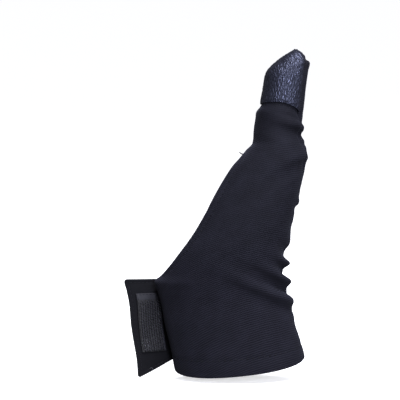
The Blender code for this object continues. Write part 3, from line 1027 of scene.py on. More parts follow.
@dataclass(frozen=True)
class Lint:
    """Grey cotton lint and the fluffed ends of thread: matt, pale and soft-edged."""

    dark: str = "#3c3c44"
    pale: str = "#7c7c84"
    patch_mm: float = 1 / 0.6

    def material(self) -> bpy.types.Material:
        """Builds the lint.

        Returns:
            The material.
        """
        made, shader = new_material("cotton_lint")
        place = add_node(made, "ShaderNodeTexCoord").outputs["Object"]
        patches = clouds(made, place, self.patch_mm * MM, 2.0)
        colour = blend(made, patches, self.dark, self.pale)
        connect(made, shader, {"Base Color": colour, "Roughness": 0.9, "Sheen Weight": 0.4})
        return made


@dataclass(frozen=True)
class SewingThread:
    """Black spun polyester thread.

    Its two plies twist round each other, so each stitch is a row of soft slanting lights.
    """

    shadow: str = "#0b0b10"
    light: str = "#1d1d25"
    ply_mm: float = 0.5
    slant: tuple[float, float, float] = (0.6, 0.5, 0.7)

    def material(self) -> bpy.types.Material:
        """Builds the thread.

        Returns:
            The material.
        """
        made, shader = new_material("spun_polyester_thread")
        place = add_node(made, "ShaderNodeTexCoord").outputs["Object"]
        turn = {"Vector": place, "Rotation": self.slant, "Scale": (1 / MM,) * 3}
        turned = add_node(made, "ShaderNodeMapping", turn).outputs["Vector"]
        # The node draws a wave of pi / 10 units at a scale of 1
        plies = {"Vector": turned, "Scale": 0.314 / self.ply_mm, "Distortion": 1.0}
        twist = add_node(made, "ShaderNodeTexWave", plies).outputs["Fac"]
        inputs = {
            "Base Color": blend(made, twist, self.shadow, self.light),
            "Roughness": 0.7,
            "Normal": bump(made, twist, 0.6, 0.08),
            "IOR": 1.5,
            "Specular IOR Level": 0.25,
        }
        connect(made, shader, inputs)
        return made


@dataclass(frozen=True)
class SeamlessPaper:
    """White studio paper lit from behind: matt, with no pattern that the eye finds."""

    colour: str = "#f7f7f8"
    glow: float = 0.69

    def material(self) -> bpy.types.Material:
        """Builds the paper.

        Returns:
            The material.
        """
        made, shader = new_material("matt_white_studio_paper")
        grain = add_node(made, "ShaderNodeTexNoise", {"Scale": 900.0, "Detail": 2.0})
        inputs = {
            "Base Color": self.colour,
            "Roughness": remap(made, grain.outputs["Fac"], 0.88, 0.96),
            "Emission Color": self.colour,
            "Emission Strength": self.glow,
        }
        connect(made, shader, inputs)
        return made


@dataclass
class Finishes:
    """Each finish, built once."""

    knit: bpy.types.Material = field(default_factory=lambda: StretchKnit().material())
    tricot: bpy.types.Material = field(default_factory=lambda: BRUSHED_TRICOT.material())
    leather: bpy.types.Material = field(default_factory=lambda: CrackleLeather().material())
    tape: bpy.types.Material = field(default_factory=lambda: HookTape().material())
    filament: bpy.types.Material = field(default_factory=lambda: Monofilament().material())
    thread: bpy.types.Material = field(default_factory=lambda: SewingThread().material())
    lint: bpy.types.Material = field(default_factory=lambda: Lint().material())
    paper: bpy.types.Material = field(default_factory=lambda: SeamlessPaper().material())


# Cloth panels and the leather cap

PALM_ARCH, BACK_ARCH = 0.0036, 0.0016  # rise of a course per square millimetre of girth
BROAD_WAVE, BROAD_SPAN_MM = 0.16 * MM, (16.0, 9.0)  # depth, and size round and up the glove
FINE_WAVE, FINE_SPAN_MM = 0.05 * MM, (5.0, 2.6)


class PanelGrid(NamedTuple):
    """Where a panel's points lie, as rows of columns."""

    row: np.ndarray  # height before the rim's shift
    level: np.ndarray
    girth: np.ndarray
    from_end: np.ndarray  # distance from the far edge
    outer: np.ndarray


@dataclass
class Sewing:
    """Sizes that every sewn edge shares."""

    seam_roll: float = 0.0015  # how far the cloth turns in at a seam
    seam_roll_width: float = 0.0030
    tip_wall: float = 0.0005  # what the tip's closing seam has been pared to
    tip_run: float = 0.0032
    wrist_hem: float = 0.0086
    opening_hem: float = 0.0046
    hem_swell: float = 0.00018
    hem_run_out: float = 0.0040  # over which a hem's folded edge thins out inside
    stitch_sink: float = 0.00028
    stitch_trough: float = 0.0012
    roll_lost_on_hand: float = 0.45  # share of it that is missing below the thumb
    hand_from_tip: float = 0.062  # how far from the tip that begins
    hand_run: float = 0.012
    roll_lost_at_tip: float = 0.8
    tip_roll_run: float = 0.010
    tip_gap: float = 0.00005  # between the two panels along the tip
    rim_wear: float = 0.0016  # width of the pale line that wear has left on an edge
    rim_paleness: float = 0.75

    def roll(self, distance: np.ndarray, from_top: np.ndarray) -> np.ndarray:
        """How far a face turns in at a seam.

        Args:
            distance: Distance from the seam.
            from_top: Distance from the thumb's tip, where the turn runs out.

        Returns:
            The turn at each place.
        """
        short = np.clip(1 - distance / self.seam_roll_width, 0, 1)
        on_hand = self.roll_lost_on_hand * ramp((from_top - self.hand_from_tip) / self.hand_run)
        at_tip = self.roll_lost_at_tip * ramp(1 - from_top / self.tip_roll_run)
        return self.seam_roll * short**2 * (1 - on_hand - at_tip)

    def close_tip(
        self, form: GloveForm, level: np.ndarray, girth: np.ndarray, wall: float | np.ndarray
    ) -> tuple[np.ndarray, np.ndarray]:
        """Draws a panel in to the seam along the very tip, and pares it thin there.

        Args:
            form: The glove's form.
            level: Heights.
            girth: Places round the glove.
            wall: Thickness of the panel before that.

        Returns:
            How far its outer face draws in, and its thickness.
        """
        closing = ramp(1 - (form.tip_height - level) / self.tip_run)
        flat = np.abs(form.outward(level, girth)[..., 1])
        draw = (form.tip_half_depth - self.tip_wall - self.tip_gap) * closing * flat
        return draw, wall + (self.tip_wall - wall) * closing

    def hem(self, distance: np.ndarray, width: float) -> np.ndarray:
        """How far a hem's outer face stands out, with its stitch line pulled in."""
        swell = self.hem_swell * ramp(1 - np.abs(distance - 0.5 * width) / (0.5 * width))
        return swell - self.stitch_sink * groove(distance - width, self.stitch_trough)

    def panel_wall(
        self,
        form: GloveForm,
        row: np.ndarray,
        from_end: np.ndarray,
        opening: np.ndarray,
        wrist: float | np.ndarray,
    ) -> np.ndarray:
        """Thickness of a panel: one layer of cloth, and more where a hem is folded in.

        Args:
            form: The glove's form.
            row: Distance from the wrist's edge.
            from_end: Distance from the edge along the palm opening.
            opening: 1 where that edge is hemmed, 0 where it isn't.
            wrist: Likewise for the wrist's edge.

        Returns:
            The thickness at each place.
        """
        past_opening = 1 - ramp((from_end - self.opening_hem) / self.hem_run_out)
        past_wrist = 1 - ramp((row - self.wrist_hem) / self.hem_run_out)
        hem = np.maximum(opening * past_opening, wrist * past_wrist)
        return form.cloth_wall + (form.hem_wall - form.cloth_wall) * hem

    def rubbed_rim(
        self, row: np.ndarray, from_end: np.ndarray, opening: np.ndarray
    ) -> np.ndarray:
        """How pale wear has made a panel's open edges."""
        rim = np.maximum(groove(from_end, self.rim_wear) * opening, groove(row, self.rim_wear))
        return self.rim_paleness * rim


def course_lay(height: np.ndarray, girth: np.ndarray) -> np.ndarray:
    """Place on the cloth in millimetres. The courses arch over the palm, as the cut lies."""
    across, up = girth / MM, height / MM
    arch = np.where(across > 0, PALM_ARCH, BACK_ARCH) * across**2
    return np.stack([across, up + arch], axis=-1)


def unevenness(lay: np.ndarray, broad_seed: float, fine_seed: float) -> np.ndarray:
    """How far the worn cloth waves in and out, in broad and in fine waves."""
    broad = BROAD_WAVE * noise_at(lay, BROAD_SPAN_MM, broad_seed)
    return broad + FINE_WAVE * noise_at(lay, FINE_SPAN_MM, fine_seed)


@dataclass
class PalmPanel:
    """Front of the glove: the thumb below its cap, the ball of the thumb and the wrist."""

    form: GloveForm
    finishes: Finishes
    sewing: Sewing = field(default_factory=Sewing)
    columns: int = 130
    rows: int = 200
    tuck: float = 0.0009  # how far its upper edge runs on under the leather
    tuck_sink: float = 0.00105
    tuck_width: float = 0.0064
    tuck_wall: float = 0.0008
    crowding: float = 0.0009  # the cloth crowds up below the leather's edge
    crowding_run: float = 0.0055
    crowding_far: float = 0.35  # share of it that is left away from the far edge
    crowding_end: float = 0.012  # how far from that edge the rest of it reaches
    # Painted highlight: how much paler the folds' ridges are painted
    wrist_fade: float = 0.010  # over which the wrist's hem flattens under the tab
    ridge_painted_highlight: float = 0.5
    grid: PanelGrid | None = None

    def surface(self, height: np.ndarray, share: np.ndarray) -> tuple[np.ndarray, ...]:
        """Works out the grid's places on the glove.

        Args:
            height: Height of each row before it is shifted.
            share: Distance across the panel as a share of its width.

        Returns:
            Each place's level and girth, and its distances from the thumb's seam and
            from the far edge.
        """
        form = self.form
        start = form.outer_seam(height) + form.seam_gap / 2
        girth = start + share * (form.palm_end(height) - start)
        level = height + form.rim_shift(height, girth) + form.cap_shift(height, share)
        start = form.outer_seam(level) + form.seam_gap / 2
        end = form.palm_end(level)
        girth = start + share * (end - start)
        return level, girth, girth - start, end - girth

    def build(self) -> bpy.types.Object:
        """Builds and dresses the panel.

        Returns:
            The piece.
        """
        form, sewing = self.form, self.sewing
        top = form.cap_height + self.tuck
        row = stations(top, self.rows)
        start = form.outer_seam(row) + form.seam_gap / 2
        width = form.palm_end(row) - start
        share = stations(width, self.columns) / width[:, None]
        row = np.broadcast_to(row[:, None], share.shape)
        level, girth, from_seam, from_end = self.surface(row, share)
        from_top = top - row
        opening, on_thumb = form.at_opening(row), form.on_thumb(row)
        wrist = 1 - ramp((girth - form.reach(level, 0)) / self.wrist_fade)
        near_end = (1 - self.crowding_far) * ramp(1 - from_end / self.crowding_end)
        crowd = groove(from_top - self.crowding_run, self.crowding_run)
        tucked = ramp(1 - (from_top - self.tuck) / (self.tuck_width - self.tuck))
        lay = course_lay(level, girth)
        rise = (
            -form.lap_sink(level, girth)
            + form.wrinkle(level, girth, CREASES)
            - sewing.roll(from_seam, form.tip_height - row)
            - sewing.roll(from_end, form.tip_height - row) * on_thumb
            - self.tuck_sink * tucked
            + self.crowding * crowd * (self.crowding_far + near_end)
            + sewing.hem(from_end, sewing.opening_hem) * opening
            + sewing.hem(row, sewing.wrist_hem) * wrist
            + unevenness(lay, 3.1, 8.4)
        )
        wall = sewing.panel_wall(form, row, from_end, opening, wrist)
        wall = np.where(from_top < self.tuck_width, self.tuck_wall, wall)
        edge = np.minimum.reduce([from_seam, from_end, row, from_top])
        outer, inner = form.faces(level, girth, rise, wall, edge)
        self.grid = PanelGrid(row, level, girth, from_end, outer)
        # Real wear on the open edges, plus a painted highlight on the folds' ridges
        worn_and_highlight = sewing.rubbed_rim(row, from_end, opening) + self._painted_ridge_highlight(level, girth)
        wear = np.clip(worn_and_highlight, 0, 1)
        layers = {LAY: lay, WEAR_AND_HIGHLIGHT: wear, TAUT_AND_SHADE: form.tautness(row)}
        made = shell("palm_panel_cloth", outer, inner, layers, self.finishes.knit)
        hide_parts("palm_panel")
        return made

    def shows_wrist(self, level: np.ndarray, girth: np.ndarray) -> np.ndarray:
        """Where its wrist hem isn't under the tab."""
        return girth < self.form.reach(level, 0) + self.wrist_fade

    def _painted_ridge_highlight(self, level: np.ndarray, girth: np.ndarray) -> np.ndarray:
        """How far the folds' ridges are painted paler, as a painted highlight."""
        ridge = np.clip(self.form.wrinkle(level, girth) / self.form.fold_depth, 0, 1)
        return self.ridge_painted_highlight * ridge


@dataclass
class BackPanel:
    """Back of the glove, from the wrist to the thumb's tip."""

    form: GloveForm
    finishes: Finishes
    sewing: Sewing = field(default_factory=Sewing)
    columns: int = 96
    rows: int = 240
    tab_seam_above: float = 0.002  # how far over the tab's top its seam's roll begins to end
    tab_seam_run: float = 0.003
    tab_seam_roll: float = 0.6
    tip_wear: float = 0.008
    tip_paleness: float = 0.6
    grid: PanelGrid | None = None

    def build(self) -> bpy.types.Object:
        """Builds and dresses the panel.

        Returns:
            The piece.
        """
        form, sewing = self.form, self.sewing
        row = stations(form.tip_height, self.rows)
        width = form.outer_seam(row) - form.seam_gap / 2 - form.back_end(row)
        share = stations(width, self.columns) / width[:, None]
        row = np.broadcast_to(row[:, None], share.shape)
        start = form.outer_seam(row) - form.seam_gap / 2
        girth = start + share * (form.back_end(row) - start)
        level = row + form.rim_shift(row, girth)
        start, end = form.outer_seam(level) - form.seam_gap / 2, form.back_end(level)
        girth = start + share * (end - start)
        from_seam, from_end = start - girth, girth - end
        from_top = form.tip_height - row
        opening, on_thumb = form.at_opening(row), form.on_thumb(row)
        at_tab = 1 - ramp((row - form.tab_top + self.tab_seam_above) / self.tab_seam_run)
        rolled = np.maximum(on_thumb, self.tab_seam_roll * at_tab)
        lay = course_lay(level, girth)
        rise = (
            form.wrinkle(level, girth, CREASES)
            - sewing.roll(from_seam, from_top)
            - sewing.roll(from_end, from_top) * rolled
            + sewing.hem(from_end, sewing.opening_hem) * opening
            + sewing.hem(row, sewing.wrist_hem)
            + unevenness(lay, 21.7, 14.2)
        )
        wall = sewing.panel_wall(form, row, from_end, opening, 1.0)
        closing, wall = sewing.close_tip(form, level, girth, wall)
        edge = np.minimum.reduce([from_seam, from_end, row, from_top])
        outer, inner = form.faces(level, girth, rise - closing, wall, edge)
        self.grid = PanelGrid(row, level, girth, from_end, outer)
        tip = self.tip_paleness * groove(from_top, self.tip_wear)
        wear = np.clip(sewing.rubbed_rim(row, from_end, opening) + tip, 0, 1)
        layers = {LAY: lay, WEAR_AND_HIGHLIGHT: wear, TAUT_AND_SHADE: form.tautness(row)}
        made = shell("back_panel_cloth", outer, inner, layers, self.finishes.knit)
        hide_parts("back_panel")
        return made

    def shows_wrist(self, level: np.ndarray, girth: np.ndarray) -> np.ndarray:
        """Where its wrist hem shows: everywhere."""
        return np.ones(np.broadcast(level, girth).shape, bool)


@dataclass
class ThumbCap:
    """Leather over the pad and the tip of the thumb."""

    form: GloveForm
    finishes: Finishes
    sewing: Sewing = field(default_factory=Sewing)
    columns: int = 170
    rows: int = 125
    pebble_mm: float = 1.12
    pebble_stretch: float = 2.9  # along the thumb
    spread_per_mm: float = 0.014  # the grain fans out towards the tip
    crack_depth: float = 0.00018
    dome: float = 0.00008
    pinch: float = 0.00030  # how far its lower edge is drawn in
    pinch_width: float = 0.0020
    skived_wall: float = 0.00055  # it is pared thin at that edge
    skiving: float = 0.0030
    calm_edge: float = 0.0012  # the grain runs out this near a seam
    crack_width: float = 0.16  # in pebbles, as the next
    pebble_radius: float = 0.62
    warp: tuple[float, float] = (0.75, 0.6)  # how far the grain strays, in millimetres
    swell: float = 0.0001
    swell_span_mm: tuple[float, float] = (9.0, 6.0)

    def build(self) -> bpy.types.Object:
        """Builds and dresses the cap.

        Returns:
            The piece.
        """
        form, sewing = self.form, self.sewing
        foot = form.cap_height
        row = foot + stations(form.tip_height - foot, self.rows)
        start = form.outer_seam(row) + form.seam_gap / 2
        width = form.palm_end(row) - start
        share = stations(width, self.columns) / width[:, None]
        row = np.broadcast_to(row[:, None], share.shape)
        level = row + form.cap_shift(row, share)
        start, end = form.outer_seam(level) + form.seam_gap / 2, form.palm_end(level)
        girth = start + share * (end - start)
        from_seam, from_end = girth - start, end - girth
        from_foot, from_top = row - foot, form.tip_height - row
        lay = np.stack([girth / MM, level / MM], axis=-1)
        cracks, domes = self._grain(lay)
        calm = np.minimum(1, np.minimum(from_seam, from_end) / self.calm_edge)
        rise = (
            -sewing.roll(from_seam, from_top)
            - sewing.roll(from_end, from_top)
            - self.pinch * ramp(1 - from_foot / self.pinch_width)
            + calm * (self.dome * domes - self.crack_depth * cracks)
            + self.swell * noise_at(lay, self.swell_span_mm, 5.5)
        )
        edge = np.minimum.reduce([from_seam, from_end, from_foot, from_top])
        thinned = (form.leather_wall - self.skived_wall) * ramp(1 - from_foot / self.skiving)
        closing, wall = sewing.close_tip(form, level, girth, form.leather_wall - thinned)
        outer, inner = form.faces(level, girth, rise - closing, wall, edge)
        layers = {LAY: lay, RELIEF: 1 - cracks}
        made = shell("thumb_cap_leather", outer, inner, layers, self.finishes.leather)
        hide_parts("thumb_cap")
        return made

    def _grain(self, lay: np.ndarray) -> tuple[np.ndarray, np.ndarray]:
        """Cracks and pebbles of the milled grain.

        Args:
            lay: Places on the leather in millimetres.

        Returns:
            Depth of the cracks from 0 to 1, and height of the pebbles from 0 to 1.
        """
        flat = lay.reshape(-1, 2)
        warp_x = noise_at(flat, (2.2, 3.4), 41.0) * self.warp[0]
        warp_y = noise_at(flat, (1.7, 1.7), 57.0) * self.warp[1]
        x, y = (flat - flat.mean(axis=0)).T
        across = (x * (1 - self.spread_per_mm * y) + warp_x) / self.pebble_mm
        along = (y + warp_y) / (self.pebble_stretch * self.pebble_mm)
        cracks, domes = np.empty(len(flat)), np.empty(len(flat))
        for i, (u, v) in enumerate(zip(across, along)):
            near, second = noise.voronoi(Vector((u, v, 0.0)))[0][:2]
            cracks[i] = math.exp(-(((second - near) / self.crack_width) ** 2))
            domes[i] = max(0.0, 1 - (near / self.pebble_radius) ** 2)
        shape = lay.shape[:-1]
        return cracks.reshape(shape), domes.reshape(shape)


# The closure


@dataclass
class ClosureTab:
    """The tab that is sewn to the back panel and stands open beside the wrist."""

    form: GloveForm
    finishes: Finishes
    root_foot: float = 0.0044
    free_foot: float = -0.0080
    slant: float = 0.0007  # how much higher its free corner lies
    length: float = 0.0284
    foot_length: float = 0.0341
    bend: float = -0.20
    corner: float = 0.0016
    sag: float = 0.00045
    pinch: float = 0.00022  # how far its edge stitching pulls each face in
    stitch_inset: float = 0.0020
    stitch_line: float = 0.0013  # width of the trough that it draws in
    edge_wear: float = 0.0014
    edge_paleness: float = 0.5
    columns: int = 64
    rows: int = 84

    def run_length(self, rise: np.ndarray) -> np.ndarray:
        """Length of the tab from its seam, between its foot at 0 and its top at 1."""
        return self.foot_length + (self.length - self.foot_length) * rise

    def point(self, height: np.ndarray, run: np.ndarray, depth: np.ndarray) -> np.ndarray:
        """Points of the tab.

        Args:
            height: Heights of the places.
            run: Lengths from the seam.
            depth: Depths under the outer face, towards the hooks.

        Returns:
            The points.
        """
        height, run, depth = np.broadcast_arrays(height, run, depth)
        form = self.form
        level = np.minimum(height, form.closure_height)
        seam = form.back_end(level) - 1.5 * form.seam_gap
        root = form.bare(level, seam)[..., :2]
        ahead = form.bare(level, seam - form.probe)[..., :2] - root
        angle = np.arctan2(ahead[..., 1], ahead[..., 0])
        turned = self.bend * run / self.length
        chord = run * np.sinc(turned / 2 / math.pi)
        towards, facing = angle + turned / 2, angle + turned + math.pi / 2
        x = root[..., 0] + chord * np.cos(towards) + depth * np.cos(facing)
        y = root[..., 1] + chord * np.sin(towards) + depth * np.sin(facing)
        return np.stack([x, y, height], axis=-1)

    def sag_at(self, height: np.ndarray, run: np.ndarray) -> np.ndarray:
        """How far the tab's middle has waved out of true."""
        lay = np.stack([run / MM, height / MM], axis=-1)
        free = ramp(run / self.length)
        return self.sag * free * noise_at(lay, (13.0, 17.0), 73.0)

    def build(self) -> bpy.types.Object:
        """Builds and dresses the tab.

        Returns:
            The piece.
        """
        form = self.form
        top = form.tab_top
        across = stations(self.length, self.columns) / self.length
        up = stations(top, self.rows) / top
        share, rise = np.meshgrid(across, up)
        from_free, from_root = (1 - share) * self.length, share * self.length
        from_foot, from_top = rise * top, (1 - rise) * top
        for edge in (from_foot, from_top):
            self._round_corner(from_free, edge)
        share = 1 - from_free / self.length
        rise = np.where(rise < 0.5, from_foot / top, 1 - from_top / top)
        foot = self.root_foot + (self.free_foot - self.root_foot) * share
        height = foot + (top + self.slant * share - foot) * rise
        run = self.run_length(rise) * share
        edge = np.minimum.reduce([from_free, from_root, from_foot, from_top])
        sewn = np.minimum.reduce([from_free, from_foot, from_top])
        line = groove(sewn - self.stitch_inset, self.stitch_line)
        draw = rounded_edge(edge, form.tab_wall) + self.pinch * line
        sag = self.sag_at(height, run)
        outer = self.point(height, run, sag + draw)
        inner = self.point(height, run, sag + form.tab_wall - draw)
        lay = np.stack([run / MM, height / MM], axis=-1)
        layers = {LAY: lay, WEAR_AND_HIGHLIGHT: self.edge_paleness * groove(edge, self.edge_wear)}
        made = shell("closure_tab_cloth", outer, inner, layers, self.finishes.tricot)
        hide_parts("closure_tab")
        return made

    def _round_corner(self, along: np.ndarray, across: np.ndarray) -> None:
        """Rounds a corner off by moving its places on a square to those on a quarter disc."""
        near = (along < self.corner) & (across < self.corner)
        u = 1 - along[near] / self.corner
        v = 1 - across[near] / self.corner
        along[near] = self.corner * (1 - u * np.sqrt(1 - v * v / 2))
        across[near] = self.corner * (1 - v * np.sqrt(1 - u * u / 2))


@dataclass
class HookPatch:
    """Hook tape on the face of the tab that closes on the palm panel."""

    form: GloveForm
    finishes: Finishes
    tab: ClosureTab
    wall: float = 0.0008
    width: float = 0.0152
    margin: float = 0.0048
    foot: float = 0.0064
    top_margin: float = 0.0078
    bare_top: float = 0.0034  # tape with no hooks, at its cut end
    selvedge: float = 0.0011  # bare tape along its side nearest the seam
    far_selvedge: float = 0.0004
    hook_pitch: float = 0.00145  # across the tape
    hook_step: float = 0.00150  # along it
    hook_height: float = 0.0011
    hook_curl: float = 0.00034
    hook_radius: float = 0.00017
    hook_turn: float = 1.15 * math.pi
    hook_lean: float = 0.15
    hook_root: float = 0.0001  # how deep it is rooted in the tape
    hook_tip: float = 0.6  # how thin its end is beside the rest
    rib_depth: float = 0.00016  # of the tape's lengthwise ribs, one under each line of hooks
    field_run: float = 0.0004  # over which the ribs run out at the bare tape
    first_hook: float = 0.0012
    columns: int = 40
    rows: int = 80

    @property
    def top(self) -> float:
        """Height of the tape's top edge."""
        return self.form.tab_top - self.top_margin

    def run_at(self, height: np.ndarray, share: np.ndarray) -> np.ndarray:
        """Length from the tab's seam, for a share of the tape's width."""
        tab, form = self.tab, self.form
        rise = (height - tab.root_foot) / (form.tab_top - tab.root_foot)
        return tab.run_length(rise) - self.margin - self.width * (1 - share)

    def point(self, height: np.ndarray, share: np.ndarray, lift: np.ndarray) -> np.ndarray:
        """Points at a lift over the tab's inner face."""
        run = self.run_at(height, share)
        depth = self.form.tab_wall + self.form.seam_gap + lift + self.tab.sag_at(height, run)
        return self.tab.point(height, run, depth)

    def build(self) -> bpy.types.Object:
        """Builds and dresses the tape.

        Returns:
            The piece.
        """
        across = stations(self.width, self.columns) / self.width
        height = self.foot + stations(self.top - self.foot, self.rows)
        share, height = np.meshgrid(across, height)
        from_side = np.minimum(share, 1 - share) * self.width
        from_end = np.minimum(height - self.foot, self.top - height)
        draw = rounded_edge(np.minimum(from_side, from_end), self.wall)
        rib = 0.5 + 0.5 * np.cos(2 * math.pi * share * self.width / self.hook_pitch)
        hooked = ramp((share * self.width - self.selvedge) / self.field_run)
        hooked = hooked * ramp((self.top - self.bare_top - height) / self.field_run)
        outer = self.point(height, share, self.wall - draw - self.rib_depth * rib * hooked)
        inner = self.point(height, share, draw)
        lay = np.stack([share * self.width / MM, height / MM], axis=-1)
        layers = {LAY: lay, RELIEF: 1 - hooked}
        made = shell("hook_patch_tape", outer, inner, layers, self.finishes.tape)
        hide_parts("hook_patch")
        return made

    def build_hooks(self) -> bpy.types.Object:
        """Builds the field of hooks, each a bent strand of monofilament.

        Returns:
            The piece.
        """
        mesh = bmesh.new()
        field_width = self.width - self.selvedge - self.far_selvedge
        lines = int(field_width / self.hook_pitch)
        low, high = self.foot + self.first_hook, self.top - self.bare_top
        count = int((high - low) / self.hook_step)
        for line in range(lines):
            share = (self.selvedge + self.hook_pitch * (line + 0.5)) / self.width
            stagger = 0.5 * (line % 2)
            for place in range(count):
                height = low + self.hook_step * (place + 0.25 + stagger)
                lean = self.hook_lean * noise.noise(Vector((line * 3.1, place * 2.3, 5.0)))
                self._add_hook(mesh, height, share, lean)
        hooks = piece_from("hook_patch_hooks", mesh, self.finishes.filament)
        return hooks

    def _add_hook(
        self, mesh: bmesh.types.BMesh, height: float, share: float, lean: float
    ) -> None:
        """Adds one hook, which stands up from the tape and curls over towards its foot."""
        turn = np.linspace(0, self.hook_turn, 5)
        curl = self.hook_height + self.hook_curl * np.sin(turn)
        rise = np.concatenate([[-self.hook_root, 0.5 * self.hook_height], curl])
        drop = np.concatenate([[0.0, 0.0], self.hook_curl * (1 - np.cos(turn))])
        across = share + lean * np.linspace(0, 1, len(rise)) * self.hook_curl / self.width
        path = self.point(height - drop, across, self.wall + rise)
        radii = np.full(len(rise), self.hook_radius)
        radii[-1] *= self.hook_tip
        tube(mesh, path, radii, 5)


# Sewing


def contour(
    grids: Sequence[np.ndarray], distance: np.ndarray, target: float, axis: int
) -> list[np.ndarray]:
    """Reads grids along the line on which a distance has a value.

    Args:
        grids: Values to read, as rows of columns.
        distance: A distance that rises or falls steadily along the axis.
        target: Its value on the line.
        axis: 0 to look up each column, 1 to look along each row.

    Returns:
        The values on the line, in the order of the grids.
    """
    lines = []
    if axis == 0:
        grids, distance = [g.swapaxes(0, 1) for g in grids], distance.T
    for grid in grids:
        line = []
        for values, along in zip(grid, distance):
            order = slice(None) if along[-1] > along[0] else slice(None, None, -1)
            line.append(np.interp(target, along[order], values[order]))
        lines.append(np.array(line))
    return lines


@dataclass
class StitchRow:
    """A row of stitches along a line."""

    length: float = 0.0014
    pitch: float = 0.0032
    thickness: float = 0.00060
    proud: float = 0.15  # share of its thickness by which it stands out of the cloth

    def sew(self, mesh: bmesh.types.BMesh, line: np.ndarray, normals: np.ndarray) -> None:
        """Adds the stitches, each a short bulging strand, clear of the line's ends.

        Args:
            mesh: The bmesh that they are added to.
            line: Points of the line that they follow.
            normals: The cloth's outward normal at each point.
        """
        steps = np.linalg.norm(np.diff(line, axis=0), axis=1)
        along = np.concatenate([[0], np.cumsum(steps)])
        for centre in np.arange(0.7 * self.pitch, along[-1] - 0.5 * self.pitch, self.pitch):
            reach = (centre - self.length / 2, centre + self.length / 2)
            ends = [np.array([np.interp(s, along, line[:, k]) for k in range(3)]) for s in reach]
            normal = Vector([np.interp(centre, along, normals[:, k]) for k in range(3)])
            tangent = Vector(ends[1] - ends[0]).normalized()
            normal = (normal - tangent * normal.dot(tangent)).normalized()
            middle = Vector((ends[0] + ends[1]) / 2) + normal * self.proud * self.thickness
            side = normal.cross(tangent)
            half = self.thickness / 2
            spin = Matrix(
                [
                    [side[k] * half, normal[k] * half, tangent[k] * self.length / 2, middle[k]]
                    for k in range(3)
                ]
                + [[0, 0, 0, 1]]
            )
            bmesh.ops.create_uvsphere(mesh, u_segments=6, v_segments=6, radius=1.0, matrix=spin)


